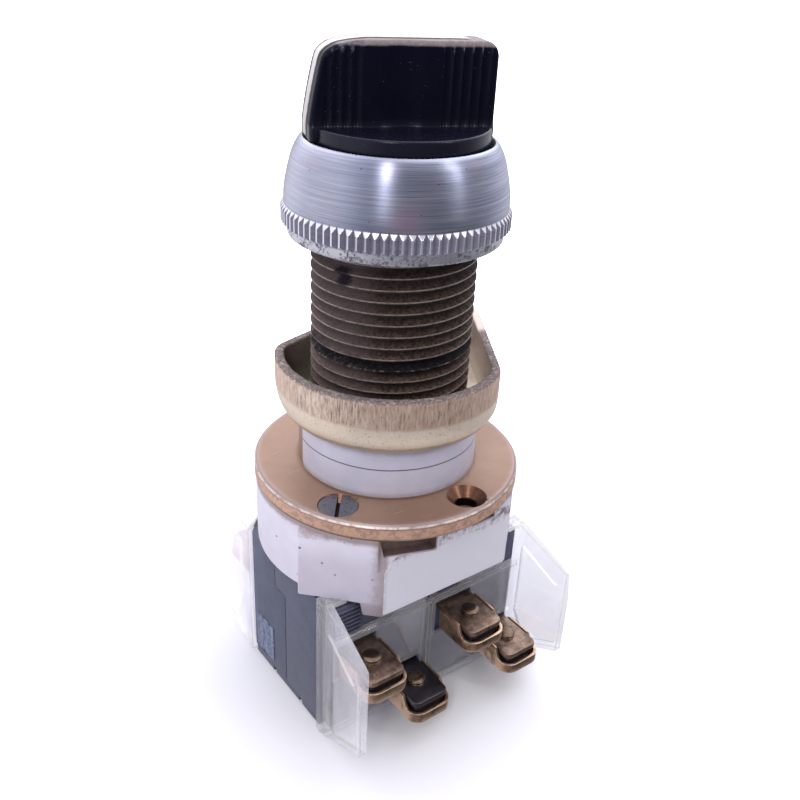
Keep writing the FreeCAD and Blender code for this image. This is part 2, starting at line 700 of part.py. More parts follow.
def front_cover(side, centre):
    inner, outer = FIN_X
    wall = box(side * 0.25, side * outer, -17.5, -16.1, -50.0, -26.0)
    for x, level in TERMINALS:
        wall = wall.cut(box(centre + x - 5.2, centre + x + 5.2, -20, -15,
                            level - 7.6, level + 1.4))
    slab = sided_prism([(inner, -13.0), (inner, FIN_BEND_Y), (inner + FIN_SPLAY, FIN_END_Y),
                        (outer + FIN_SPLAY, FIN_END_Y), (outer, FIN_BEND_Y), (outer, -13.0)],
                       side, -52, -16)
    fin = prism_x(FIN_OUTLINE, side * inner, side * (outer + 2)).common(slab)
    ledge = sided_prism(LEDGE_OUTLINE, side, -18.05, -17.2)
    floor = outer - RECESS_DEPTH
    skin = sided_prism([(floor, -16.0), (floor, FIN_BEND_Y), (floor + FIN_SPLAY, FIN_END_Y),
                        (outer + 4, FIN_END_Y), (outer + 4, -16.0)], side, -52, -16)
    cover = wall.fuse([fin, ledge]).removeSplitter()
    recess = prism_x(RECESS_OUTLINE, side * (outer - 1), side * (outer + 3)).common(skin)
    return cover.cut(recess)


# ---------------------------------------------------------------- write every piece
os.makedirs("parts", exist_ok=True)

for build in (threaded_barrel, bezel_ring, locating_cup, flange_base, id_label, flange_screws,
              actuator_housing, selector_shaft, shaft_orings, shaft_bush, shaft_circlip, cam,
              detent_wheel, detent_spring, knob, knob_insert, knob_screw, block_screws):
    write(build.__name__, build())

write("side_label", prism_y(LABEL_OUTLINE, FRONT_Y - 0.15, FRONT_Y))
write("detent_ball", Part.makeSphere(BALL_R, Vector(0, BALL_Y, BALL_Z)))

# the left side is up and the right side pressed
for name, number, side, drop in (("left", 1, -1, 0.0), ("right", 2, 1, CAM_STROKE)):
    centre = side * BLOCK_CENTRE
    write(f"actuator_side{number}", actuator(side * PIN_X, drop))
    straps = at_terminals(strap, centre)
    write("terminal_straps_" + name, straps)
    write("saddle_clamps_" + name, at_terminals(saddle_clamp, centre))
    write("terminal_screws_" + name, at_terminals(terminal_screw, centre))
    write("block_body_" + name, block_body(side, centre, straps))
    write("block_base_" + name, block_base(side, centre))
    write("plunger_" + name, plunger(centre, drop))
    write("bridges_" + name, bridges(centre, drop))
    write("return_spring_" + name, return_spring(centre, drop))
    cover = front_cover(side, centre)
    write("clear_cover_front_" + name, cover)
    write("clear_cover_rear_" + name, mirror_y(cover))
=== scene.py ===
# A panel-mounted rotary selector switch with two contact blocks under it.
# The turning axis is z, up through the knob; the flange's upper face is z = 0.
# Front is -y, left is -x. Pieces are built in millimetres and scaled to metres at the end.

import math
import random
from functools import cached_property

import bmesh
import bpy
from mathutils import Matrix, Vector


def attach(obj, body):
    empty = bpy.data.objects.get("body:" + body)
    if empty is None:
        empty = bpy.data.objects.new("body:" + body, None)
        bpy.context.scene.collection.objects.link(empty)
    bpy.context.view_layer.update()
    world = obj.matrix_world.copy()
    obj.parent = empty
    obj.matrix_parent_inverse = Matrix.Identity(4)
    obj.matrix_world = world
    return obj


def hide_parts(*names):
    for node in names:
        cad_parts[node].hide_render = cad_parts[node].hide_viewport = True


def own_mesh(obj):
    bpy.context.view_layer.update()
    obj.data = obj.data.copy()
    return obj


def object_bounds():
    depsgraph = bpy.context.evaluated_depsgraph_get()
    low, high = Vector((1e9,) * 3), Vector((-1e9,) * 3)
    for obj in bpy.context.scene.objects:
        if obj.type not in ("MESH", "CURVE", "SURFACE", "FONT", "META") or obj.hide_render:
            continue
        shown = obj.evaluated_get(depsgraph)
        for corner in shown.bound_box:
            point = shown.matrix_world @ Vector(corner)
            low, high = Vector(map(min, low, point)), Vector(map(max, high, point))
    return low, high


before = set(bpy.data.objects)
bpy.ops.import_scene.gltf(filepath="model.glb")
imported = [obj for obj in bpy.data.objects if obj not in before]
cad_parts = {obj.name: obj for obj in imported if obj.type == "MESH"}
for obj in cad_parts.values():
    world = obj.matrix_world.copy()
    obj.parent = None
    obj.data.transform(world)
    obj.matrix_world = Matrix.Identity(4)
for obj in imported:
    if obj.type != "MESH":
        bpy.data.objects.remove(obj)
CAD_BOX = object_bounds()

MM = 0.001
POINTER_ANGLE = 157.5                        # where the knob points, degrees about z
KNURL_R, GROOVE_R = 20.3, 19.62              # bezel ring: crests and groove floors
HUB_R, HUB_TOP = 17.39, 10.5                 # collar on the flange, carries the label
FLANGE_BOTTOM = -3.5
HOLE_CIRCLE = 21.8                           # flange holes: circle radius and angles
HOLE_ANGLES = (-149.0, -82.0, 31.0, 98.0)    # screws sit in the first and the third
HOUSING_FRONT = -21.2
BLOCK_X = 12.075                             # centre of a contact block, either side
BLOCK_SCREW_X, BLOCK_SCREW_Y = 22.12, 9.0
TERMINALS = ((-5.6, -29.0), (5.6, -40.7))    # (x from the block centre, strap top z)
TERMINAL_SCREW_Y = -22.0


# ================================================================ mesh helpers
def link(data, name="part"):
    ob = bpy.data.objects.new(name, data)
    bpy.context.scene.collection.objects.link(ob)
    return ob


def mesh(verts, faces, mat=None):
    me = bpy.data.meshes.new("part")
    me.from_pydata(verts, [], faces)
    bm = bmesh.new()
    bm.from_mesh(me)
    bmesh.ops.remove_doubles(bm, verts=bm.verts, dist=1e-5)
    bmesh.ops.dissolve_degenerate(bm, edges=bm.edges, dist=1e-6)
    bmesh.ops.recalc_face_normals(bm, faces=bm.faces)
    bm.to_mesh(me)
    bm.free()
    if mat:
        me.materials.append(mat)
    return link(me)


def bake(ob):
    graph = bpy.context.evaluated_depsgraph_get()
    graph.update()
    me = bpy.data.meshes.new_from_object(
        ob.evaluated_get(graph), preserve_all_data_layers=True, depsgraph=graph)
    ob.modifiers.clear()
    old = ob.data
    ob.data = me
    bpy.data.meshes.remove(old)
    return ob


def drop(ob):
    me = ob.data
    bpy.data.objects.remove(ob)
    bpy.data.meshes.remove(me)


def cut(ob, *tools, op="DIFFERENCE"):
    for tool in tools:
        if not tool.data.materials:
            tool.data.materials.append(ob.data.materials[0])
        mod = ob.modifiers.new("boolean", "BOOLEAN")
        mod.operation = op
        mod.solver = "EXACT"
        mod.object = tool
    bake(ob)
    for tool in tools:
        drop(tool)
    return ob


def fuse(ob, *tools):
    return cut(ob, *tools, op="UNION")


def bevel(ob, width, segments=2, angle=35.0):
    mod = ob.modifiers.new("bevel", "BEVEL")
    mod.width = width
    mod.segments = segments
    mod.limit_method = "ANGLE"
    mod.angle_limit = math.radians(angle)
    return bake(ob)


def move(ob, x=0.0, y=0.0, z=0.0):
    ob.data.transform(Matrix.Translation((x, y, z)))
    return ob


def turn(ob, degrees):
    ob.data.transform(Matrix.Rotation(math.radians(degrees), 4, "Z"))
    return ob


def flip_y(ob):
    ob.data.transform(Matrix.Diagonal((1, -1, 1, 1)))
    ob.data.flip_normals()
    return ob


def join(obs):
    verts, faces, mats, indices = [], [], [], []
    for ob in obs:
        base = len(verts)
        slots = []
        for mat in ob.data.materials:
            if mat not in mats:
                mats.append(mat)
            slots.append(mats.index(mat))
        verts.extend(tuple(v.co) for v in ob.data.vertices)
        for face in ob.data.polygons:
            faces.append([base + i for i in face.vertices])
            indices.append(slots[face.material_index])
        drop(ob)
    me = bpy.data.meshes.new("part")
    me.from_pydata(verts, [], faces)
    for mat in mats:
        me.materials.append(mat)
    for face, index in zip(me.polygons, indices):
        face.material_index = index
    return link(me)


def ring_mesh(columns, mat, closed=True):
    # columns of points joined side by side all the way round; closed joins each column's ends
    rows = len(columns[0])
    faces = []
    for j in range(len(columns)):
        k = (j + 1) % len(columns)
        for i in range(rows if closed else rows - 1):
            m = (i + 1) % rows
            faces.append((j * rows + i, k * rows + i, k * rows + m, j * rows + m))
    return mesh([p for column in columns for p in column], faces, mat)


def tube_mesh(sections, mat):
    # closed sections joined one after the other, with flat caps
    n, last = len(sections[0]), len(sections) - 1
    faces = []
    for k in range(last):
        for j in range(n):
            m = (j + 1) % n
            faces.append((k * n + j, k * n + m, (k + 1) * n + m, (k + 1) * n + j))
    faces += [tuple(range(n)), tuple(range(last * n, last * n + n))]
    return mesh([p for section in sections for p in section], faces, mat)


def lathe(profile, segs, mat=None, closed=True, radius=None):
    # profile is (r, z); radius(r, z, angle) may change r
    columns = []
    for j in range(segs):
        t = 2 * math.pi * j / segs
        column = []
        for r, z in profile:
            rr = radius(r, z, t) if radius else r
            column.append((rr * math.cos(t), rr * math.sin(t), z))
        columns.append(column)
    return ring_mesh(columns, mat, closed)


def prism(points, lo, hi, axis="z", mat=None):
    # points are in the two other axes, in x, y, z order
    n = len(points)
    lo, hi = sorted((lo, hi))
    place = {
        "x": lambda p, q, w: (w, p, q),
        "y": lambda p, q, w: (p, w, q),
        "z": lambda p, q, w: (p, q, w),
    }[axis]
    verts = [place(p, q, w) for w in (lo, hi) for p, q in points]
    faces = [tuple(range(n)), tuple(range(2 * n - 1, n - 1, -1))]
    for i in range(n):
        j = (i + 1) % n
        faces.append((i, j, n + j, n + i))
    return mesh(verts, faces, mat)


def block(xs, ys, zs, mat=None, bev=0.0):
    (x0, x1), (y0, y1) = sorted(xs), sorted(ys)
    ob = prism([(x0, y0), (x1, y0), (x1, y1), (x0, y1)], *zs, "z", mat)
    return bevel(ob, bev) if bev else ob


def around(middle, half):
    return middle - half, middle + half


def rod(r, lo, hi, x=0.0, y=0.0, z=0.0, segs=48, mat=None, axis="z"):
    angles = [2 * math.pi * i / segs for i in range(segs)]
    points = [(r * math.cos(a), r * math.sin(a)) for a in angles]
    return move(prism(points, lo, hi, axis, mat), x, y, z)


def polar(r, degrees):
    a = math.radians(degrees)
    return r * math.cos(a), r * math.sin(a)


def rounded(points, steps=5):
    # polygon whose points are (a, b) or (a, b, corner radius)
    out, n = [], len(points)
    for i, point in enumerate(points):
        radius = point[2] if len(point) > 2 else 0.0
        if radius <= 0:
            out.append((point[0], point[1]))
            continue
        corner = Vector(point[:2])
        u, v = Vector(points[i - 1][:2]) - corner, Vector(points[(i + 1) % n][:2]) - corner
        len_u, len_v = u.length, v.length
        u.normalize()
        v.normalize()
        half = math.acos(max(-1, min(1, u.dot(v)))) / 2
        reach = min(radius / math.tan(half), 0.49 * len_u, 0.49 * len_v)
        r = reach * math.tan(half)
        mid = corner + (u + v).normalized() * (r / math.sin(half))
        start, end = corner + u * reach, corner + v * reach
        a0 = math.atan2(start.y - mid.y, start.x - mid.x)
        a1 = math.atan2(end.y - mid.y, end.x - mid.x)
        sweep = (a1 - a0 + math.pi) % (2 * math.pi) - math.pi
        for k in range(steps + 1):
            a = a0 + sweep * k / steps
            out.append((mid.x + r * math.cos(a), mid.y + r * math.sin(a)))
    return out


def spline(points, per):
    # Catmull-Rom curve through the points, with per steps between neighbours
    out = []
    for i in range(len(points) - 1):
        p0, p1, p2 = points[max(i - 1, 0)], points[i], points[i + 1]
        p3 = points[min(i + 2, len(points) - 1)]
        for k in range(per):
            t = k / per
            out.append(tuple(
                0.5 * (2 * p1[c] + (p2[c] - p0[c]) * t
                       + (2 * p0[c] - 5 * p1[c] + 4 * p2[c] - p3[c]) * t * t
                       + (3 * p1[c] - p0[c] - 3 * p2[c] + p3[c]) * t ** 3)
                for c in (0, 1)))
    out.append(tuple(points[-1]))
    return out


def lookup(table, x):
    # linear interpolation in (x, value) rows, held flat past both ends
    if x <= table[0][0]:
        return table[0][1]
    for (a, u), (b, v) in zip(table, table[1:]):
        if x <= b:
            return u + (v - u) * (x - a) / (b - a)
    return table[-1][1]


def smooth_min(a, b, k):
    h = max(0.0, min(1.0, 0.5 + 0.5 * (b - a) / k))
    return b + (a - b) * h - k * h * (1 - h)


def smooth_max(a, b, k):
    return -smooth_min(-a, -b, k)


def piece(ob, name, node, angle=32.0, body="switch_body"):
    ob.name = name
    ob.data.name = name
    ob.data.transform(Matrix.Scale(MM, 4))
    for face in ob.data.polygons:
        face.use_smooth = True
    ob.data.set_sharp_from_angle(angle=math.radians(angle))
    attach(ob, body)
    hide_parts(node)
    return ob


# ================================================================ shader helpers
def linear(rgb):
    # 0-255 display colour to linear
    return tuple(((v / 255 + 0.055) / 1.055) ** 2.4 if v / 255 > 0.04045 else v / 255 / 12.92
                 for v in rgb) + (1.0,)


class Value:
    """A node output. Arithmetic adds Math nodes, and ~ is the clamped complement."""

    def __init__(self, graph, socket):
        self.graph, self.socket = graph, socket

    def __add__(self, other):
        return self.graph.math("ADD", self, other)

    def __radd__(self, other):
        return self.graph.math("ADD", other, self)

    def __sub__(self, other):
        return self.graph.math("SUBTRACT", self, other)

    def __rsub__(self, other):
        return self.graph.math("SUBTRACT", other, self)

    def __mul__(self, other):
        return self.graph.math("MULTIPLY", self, other)

    def __truediv__(self, other):
        return self.graph.math("DIVIDE", self, other)

    def __abs__(self):
        return self.graph.math("ABSOLUTE", self)

    def __invert__(self):
        return self.graph.math("SUBTRACT", 1.0, self, clamp=True)

    def max(self, other):
        return self.graph.math("MAXIMUM", self, other)

    def min(self, other):
        return self.graph.math("MINIMUM", self, other)

    def step(self, start, end, low=0.0, high=1.0):
        # smooth change from low at start to high at end; start may be the larger
        return self.graph.value("MapRange", {
            "Value": self, "From Min": start, "From Max": end, "To Min": low, "To Max": high,
        }, interpolation_type="SMOOTHSTEP")

    def band(self, start, end, soft):
        # 1 between start and end
        return (self.step(start - soft, start + soft)
                * self.step(end - soft, end + soft, 1.0, 0.0))

    def choose(self, off, on):
        # number off where this mask is 0, on where it is 1
        return self.graph.value("Mix", {0: self, 2: off, 3: on}, data_type="FLOAT")

    def ramp(self, stops):
        # stops are (position, colour)
        node = self.graph.node("ValToRGB", {0: self})
        elements = node.color_ramp.elements
        while len(elements) < len(stops):
            elements.new(0.5)
        for element, (position, rgb) in zip(elements, stops):
            element.position = position
            element.color = linear(rgb)
        return Value(self.graph, node.outputs[0])


class Graph:
    """The node tree of a material or world, emptied and ready to fill."""

    def __init__(self, owner):
        owner.use_nodes = True
        self.tree = owner.node_tree
        self.tree.nodes.clear()

    def put(self, socket, content):
        if isinstance(content, Value):
            self.tree.links.new(content.socket, socket)
        else:
            socket.default_value = content

    def node(self, kind, inputs=None, **settings):
        node = self.tree.nodes.new("ShaderNode" + kind)
        for key, setting in settings.items():
            setattr(node, key, setting)
        for key, content in (inputs or {}).items():
            self.put(node.inputs[key], content)
        return node

    def value(self, kind, inputs=None, output=0, **settings):
        return Value(self, self.node(kind, inputs, **settings).outputs[output])

    def math(self, op, a, b=0.0, clamp=False):
        return self.value("Math", {0: a, 1: b}, operation=op, use_clamp=clamp)


class Material(Graph):
    """Material with object coordinates in millimetres."""

    def __init__(self, name):
        self.material = bpy.data.materials.new(name)
        super().__init__(self.material)
        coord = self.value("TexCoord", output="Object")
        self.point = self.value("VectorMath", {0: coord, "Scale": 1000.0}, operation="SCALE")

    @cached_property
    def axes(self):
        node = self.node("SeparateXYZ", {0: self.point})
        return [Value(self, socket) for socket in node.outputs]

    x = property(lambda self: self.axes[0])
    y = property(lambda self: self.axes[1])
    z = property(lambda self: self.axes[2])

    def radius(self):
        x, y = self.x - 0.0, self.y - 0.0
        return self.math("SQRT", x * x + y * y)

    def angle(self):
        return self.math("ARCTAN2", self.y, self.x)

    def leftness(self):
        # cosine of the angle away from -x
        return self.x * -1.0 / self.radius()

    def distance_to(self, place):
        return self.value("VectorMath", {0: self.point, 1: place}, "Value",
                          operation="DISTANCE")

    def noise(self, scale, detail=3.0, rough=0.55, at=None, distortion=0.0):
        return self.value("TexNoise", {
            "Vector": at or self.point, "Scale": scale, "Detail": detail,
            "Roughness": rough, "Distortion": distortion})

    def cells(self, scale):
        return self.value("TexVoronoi", {"Vector": self.point, "Scale": scale}, "Distance")

    def ring_space(self, around_scale, up_scale):
        # noise space wrapped round the axis, scaled along the arc and along z
        a = self.angle()
        scale = 17.0 * around_scale
        return self.value("CombineXYZ", {
            0: self.math("COSINE", a) * scale,
            1: self.math("SINE", a) * scale,
            2: self.z * up_scale})

    def mix(self, mask, off, on):
        sides = [linear(c) if isinstance(c, tuple) else c for c in (off, on)]
        return self.value("Mix", {0: mask, 6: sides[0], 7: sides[1]}, 2, data_type="RGBA")

    def edge(self, radius, start=0.004, end=0.15):
        # 1 on edges, where the normal rounded over the radius leaves the true one
        rounded_normal = self.value("Bevel", {"Radius": radius * MM}, samples=4)
        normal = self.value("NewGeometry", output="Normal")
        dot = self.value("VectorMath", {0: rounded_normal, 1: normal}, "Value",
                         operation="DOT_PRODUCT")
        return (1.0 - dot).step(start, end)

    # painted shade: darkens concave corners found by ambient occlusion
    def crevice_shade(self, reach):
        return ~self.value("AmbientOcclusion", {"Distance": reach * MM}, "AO", samples=4)

    def either_ray(self, first, second):
        node = self.node("LightPath")
        return Value(self, node.outputs[first]).max(Value(self, node.outputs[second]))

    def bump(self, height, mm, strength=0.5, normal=None):
        inputs = {"Strength": strength, "Distance": mm * MM, "Height": height}
        if normal is not None:
            inputs["Normal"] = normal
        return self.value("Bump", inputs)


class Surface(Material):
    """Principled material; a pattern linked later takes over a plain value."""

    def __init__(self, name, rgb, rough, metal=0.0):
        super().__init__(name)
        self.shader = self.node("BsdfPrincipled", {
            "Base Color": linear(rgb), "Roughness": rough, "Metallic": metal})
        self.node("OutputMaterial", {0: Value(self, self.shader.outputs[0])})

    def set(self, name, content):
        self.put(self.shader.inputs[name], content)

    def paint(self, color):
        self.color = color
        self.set("Base Color", color)

    def coat(self, mask, color):
        # lay a colour over what is painted so far
        self.paint(self.mix(mask, self.color, color))

    def relief(self, height, mm, strength=0.5, normal=None):
        self.set("Normal", self.bump(height, mm, strength, normal))


# ================================================================ materials
# Steps, bands and points on m.x, m.y, m.z and radii are in millimetres.
# Steps on noise pick its patches; plain factors on a mask are the strength of that coat.
def make_knob_black():
    m = Surface("knob_black", (7, 7, 20), rough=0.33)
    dust = m.noise(2.2, detail=6, rough=0.7) * m.noise(0.35, detail=2)
    low = m.z.step(68.5, 64.2) * m.noise(0.9, detail=5, rough=0.7)
    film = dust.step(0.28, 0.48) * 0.03 + low * 0.045
    m.paint(m.mix(film, (5, 5, 24), (96, 90, 104)))
    # rubbed upper edges, dusty crest and pale spots
    wear = (m.edge(0.35, start=0.002, end=0.096)
            * m.noise(1.3, detail=5, rough=0.65).step(0.34, 0.54))
    m.coat(wear * (m.z.step(75.4, 76.7) * 0.8), (138, 140, 166))
    crest = ((m.z + (dust - 0.3) * 0.5).step(76.55, 77.0)
             * (0.35 + m.noise(1.8, detail=5, rough=0.7) * 0.75))
    m.coat(crest, (150, 138, 138))
    spots = m.cells(1.6).step(0.10, 0.05) * m.noise(0.5, detail=2).step(0.5, 0.6)
    m.coat(spots * 0.55, (150, 146, 150))
    disc = m.z.step(64.6, 64.4)
    m.set("Roughness", disc.choose(0.30, 0.20) + (film * 0.9 + m.noise(3.0, detail=4) * 0.10))
    m.set("Specular IOR Level", disc.choose(0.13, 0.34))
    m.set("Specular Tint", (0.82, 0.84, 1.0, 1.0))
    m.relief(m.noise(5.0, detail=4, rough=0.6), mm=0.012)
    return m.material


def make_insert_white():
    m = Surface("insert_white", (222, 219, 224), rough=0.45)
    # distance from the upright plane through the pointer
    a = math.radians(POINTER_ANGLE)
    off = abs(m.x * -math.sin(a) + m.y * math.cos(a))
    dirt = (off + m.noise(1.4, detail=6, rough=0.7) * 0.9).step(1.75, 2.35) * 0.95
    m.paint(m.mix(m.noise(0.8, detail=4), (238, 234, 234), (208, 200, 198)))
    m.coat(dirt, (70, 54, 44))
    grime = m.z.step(76.5, 68) * 0.55
    m.coat(grime * m.noise(1.1, detail=5), (120, 112, 120))
    m.set("Roughness", 0.38 + dirt * 0.35)
    m.relief(m.noise(3.2, detail=5), mm=0.03)
    return m.material


def make_bezel():
    m = Surface("bezel_aluminium", (176, 180, 198), rough=0.3, metal=1.0)
    # brushed upper skirt, with reflections drawn out round the axis
    m.set("Tangent", m.value("Tangent", direction_type="RADIAL", axis="Z"))
    upper = m.z.step(50.9, 51.3)
    m.set("Anisotropic", upper * 0.80)
    m.set("Anisotropic Rotation", 0.25)
    fine = m.noise(1.0, detail=4, rough=0.65, at=m.ring_space(0.11, 11.0))
    coarse = m.noise(1.0, rough=0.6, at=m.ring_space(0.045, 3.2))
    brush = fine * 0.62 + coarse * 0.38
    m.paint(brush.ramp([(0.28, (108, 112, 134)), (0.5, (154, 158, 180)),
                        (0.72, (206, 209, 224))]))
    lip = (m.z + coarse * 0.6).step(61.6, 61.9) * 0.35
    m.coat(lip, (214, 216, 230))
    # painted reflection: a lighter left side with a darker band on it, standing for the room
    # mirrored in the metal
    side = m.leftness().step(0.72, 1.0)
    m.coat(side * upper * 0.22, (240, 242, 250))
    painted_reflection_band = m.leftness().band(0.58, 0.93, soft=0.16)
    m.coat(painted_reflection_band * upper * 0.42, (112, 116, 140))
    pink = m.distance_to((-10.2, -16.9, 52.6)).step(4.2, 0.5)
    m.coat(pink * 0.35, (214, 168, 190))
    stain = m.noise(0.16).step(0.42, 0.68)
    m.coat(stain * 0.16, (172, 150, 162))
    specks = m.cells(0.42).step(0.075, 0.03) * upper
    m.coat(specks * 0.75, (70, 62, 66))
    # knurl: dirt in the grooves, bare metal on the crests; both cones bound the crest surface
    r = m.radius()
    knurl = m.z.band(47.35, 50.95, soft=0.12)
    surface = (57.7247 - m.z * 0.747).min(m.z * 1.4035 - 46.815).min(KNURL_R)
    depth = surface - r
    groove = knurl * depth.step(0.07, 0.20)
    dirt = m.noise(2.6, detail=5, rough=0.7)
    m.coat(groove * (0.40 + dirt * 0.42), m.mix(dirt, (84, 72, 84), (158, 148, 164)))
    crest = knurl * depth.step(0.08, 0.02)
    m.coat(crest * 0.9, (236, 237, 246))
    # lower rim: pitted and grimy
    lower = m.z.step(47.4, 46.9)
    pits = m.noise(1.5, detail=7, rough=0.75) * 0.7 + m.noise(0.45) * 0.4
    m.coat(lower * 0.75, (220, 219, 226))
    grime = lower * pits.step(0.545, 0.62)
    m.coat(grime * 0.88, (80, 70, 76))
    seam = m.z.band(50.85, 51.15, soft=0.12) * 0.35
    m.coat(seam, (86, 82, 96))
    rough = groove.max(grime).choose(0.27 + fine * 0.16, 0.62)
    m.set("Roughness", (lower * 0.8).choose(rough, 0.46))
    m.set("Metallic", 1.0 - groove.max(grime) * 0.55)
    brushed = m.bump(brush * upper, mm=0.016, strength=0.75)
    m.relief(pits * lower, mm=0.14, strength=0.7, normal=brushed)
    return m.material


def make_thread():
    m = Surface("barrel_metal", (90, 74, 60), rough=0.5, metal=0.7)
    r = m.radius()
    mottle = m.noise(1.5, detail=7, rough=0.72)
    patch = m.noise(0.28, rough=0.6)
    grain = m.noise(4.5, detail=4, rough=0.7)
    crest = (r + (mottle - 0.5) * 0.42).step(14.95, 15.07)
    flank = r.step(13.85, 14.9)
    low = m.z.step(33.0, 24.0)
    m.paint(m.mix(mottle.step(0.32, 0.68), (16, 11, 13), (70, 54, 49)))
    brown = m.mix(mottle.step(0.34, 0.66), (44, 31, 28), (128, 102, 84))
    m.coat(flank * (0.38 + low * 0.35), brown)
    # pale grit in the roots, and paler towards -x
    grit = m.noise(3.6, detail=4, rough=0.8).step(0.60, 0.68) * patch.step(0.36, 0.56)
    m.coat(grit * 0.6, (146, 128, 116))
    paler_left = (m.x * -1.0 / r).step(0.62, 0.96) * (0.12 + grain * 0.34)
    m.coat(paler_left, (150, 132, 132))
    m.coat(crest, m.mix(mottle.step(0.35, 0.62), (198, 186, 184), (138, 120, 112)))
    # black grease band and the dark clot near the top left
    grease = ((m.z + (patch * 4.0 + mottle * 1.6)).band(26.9, 29.4, soft=0.8)
              * mottle.step(0.30, 0.52))
    m.coat(grease * 0.94, (9, 9, 20))
    clot = (m.distance_to((-14.2, -4.6, 40.9)) + mottle * 2.0).step(3.3, 2.4)
    m.coat(clot * 0.92, (36, 26, 42))
    m.set("Metallic", crest.choose(0.12, 0.85) * ~grease.max(clot))
    m.set("Roughness", crest.choose(0.78, 0.36))
    m.set("Specular IOR Level", grease.max(clot).choose(0.35, 0.12))
    m.relief(grain, mm=0.22, strength=0.8, normal=m.bump(mottle, mm=0.7, strength=0.9))
    return m.material


def make_cup():
    m = Surface("cup_plating", (206, 188, 160), rough=0.36, metal=0.8)
    # wall: upright streaks, warmer on the left
    streak = m.noise(1.0, detail=4, rough=0.72, at=m.ring_space(3.6, 0.42))
    wide = m.noise(1.0, rough=0.6, at=m.ring_space(0.35, 0.05))
    m.paint(streak.ramp([(0.34, (128, 102, 88)), (0.46, (200, 172, 148)),
                         (0.56, (222, 200, 178)), (0.70, (240, 228, 214))]))
    warm = m.angle().step(-2.7, -1.9)
    m.coat(warm * 0.30, (222, 178, 146))
    m.coat(wide.step(0.45, 0.7) * 0.35, (196, 166, 152))
    # rounded bottom: soft and speckled
    low = (m.z + (m.noise(0.5, detail=4) * 0.9 + (streak - 0.5) * 2.2)).step(17.6, 16.7)
    smooth = m.noise(0.35)
    soft = m.mix(smooth, (248, 233, 210), (226, 206, 180))
    specks = m.noise(2.6, detail=5, rough=0.8).step(0.57, 0.66)
    m.coat(low, m.mix(specks * 0.8, soft, (112, 92, 72)))
    dots = m.cells(0.9).step(0.16, 0.06)
    m.coat(dots * 0.6, (70, 56, 48))
    # painted shadow: darker band low on the rounded bottom, next to the collar it sits on
    under = (m.z + smooth * 0.8).step(13.3, 12.6)
    m.coat(under * 0.55, (120, 92, 68))
    # dirty rim, cleaner round the +x +y corner
    crumbs = m.noise(1.1, detail=7, rough=0.75)
    rim = (m.z + (crumbs - 0.5) * 2.2).step(21.5, 22.0)
    neat = m.angle().step(-0.16, -0.04) * m.angle().step(1.9, 1.5)
    m.coat(rim * neat, m.mix(smooth, (232, 216, 204), (206, 186, 174)))
    rim = rim * ~(neat * 0.86)
    m.coat(rim * 0.95, ((crumbs + m.noise(3.4, detail=4, rough=0.8)) * 0.5).ramp([
        (0.42, (36, 28, 27)), (0.50, (84, 68, 60)),
        (0.56, (150, 132, 122)), (0.64, (204, 192, 184))]))
    m.coat(0.10, (204, 198, 216))
    m.set("Metallic", low.choose(0.6, 0.45) - rim * 0.4)
    m.set("Roughness", low.choose(0.42, 0.34) + rim * 0.3)
    streaked = m.bump(streak * ~low, mm=0.06, strength=0.6)
    m.relief(crumbs * rim, mm=0.16, normal=streaked)
    return m.material


def make_cup_inside():
    m = Surface("cup_inside", (188, 172, 152), rough=0.45, metal=0.55)
    n = m.noise(0.5, detail=5, rough=0.65)
    m.paint(m.mix(n, (224, 206, 194), (180, 160, 148)))
    # darker towards -x, lighter at the bottom
    m.coat(m.x.step(-4.0, -19.0) * 0.7, (104, 92, 86))
    m.coat(m.z.step(17.5, 13.4) * 0.7, (238, 228, 210))
    m.coat(m.noise(1.6, detail=6, rough=0.75).step(0.56, 0.66) * 0.6, (74, 62, 56))
    m.relief(n, mm=0.1)
    return m.material


def make_flange():
    m = Surface("flange_finish", (190, 150, 120), rough=0.42, metal=0.35)
    r = m.radius()
    patch = m.noise(0.22, detail=4, rough=0.6)
    grain = m.noise(3.0, detail=4, rough=0.7)
    m.paint(m.mix(patch, (160, 130, 112), (134, 105, 88)))
    m.coat(grain * 0.22, (188, 154, 132))
    # painted shade: the top face darker towards the front, where the cup and ring above shade it
    front = m.y.step(-15.0, -24.0) * m.z.step(-0.9, -0.5)
    m.coat(front * 0.35, (112, 78, 60))
    # grey wear at the rim, with a bright line at its corner
    worn = m.noise(0.8, detail=6, rough=0.7)
    top = m.z.step(-0.9, -0.5)
    wear = (r + (worn - 0.5) * 2.0).step(24.7, 25.9) * top
    m.coat(wear * 0.85, m.mix(worn, (188, 170, 168), (138, 118, 112)))
    line = m.z.band(-0.70, -0.34, soft=0.08) * worn.step(0.36, 0.6)
    m.coat(line * 0.85, (226, 212, 206))
    side = m.z.step(-0.75, -1.05)
    m.coat(side, m.mix(grain, (234, 190, 166), (190, 148, 124)))
    low_edge = (m.z + worn * 0.3).band(-3.3, -2.7, soft=0.12)
    m.coat(side * worn.step(0.44, 0.6) * 0.6, (150, 124, 112))
    m.coat(low_edge * 0.6, (120, 100, 92))
    # painted shade: darker ring on the top face beside the collar
    foot = r.step(18.4, 17.5) * m.z.step(0.9, 0.1)
    m.coat(foot * 0.6, (110, 80, 62))
    specks = m.noise(1.9, detail=5, rough=0.75).step(0.64, 0.70) * 0.8
    m.coat(specks, (84, 58, 44))
    # scratches: noise drawn out along one slanting direction
    slanted = m.value("Mapping", {
        0: m.point, "Rotation": (0, 0, math.radians(52)), "Scale": (0.10, 3.4, 1.0)})
    scratches = m.noise(1.0, detail=2, rough=0.5, at=slanted).step(0.69, 0.73)
    m.coat(scratches * patch.step(0.45, 0.6) * 0.7, (234, 208, 186))
    m.set("Roughness", 0.34 + grain * 0.22)
    m.set("Metallic", 0.35 + wear * 0.3)
    m.relief(grain, mm=0.03, normal=m.bump(worn, mm=0.10, strength=0.3))
    return m.material


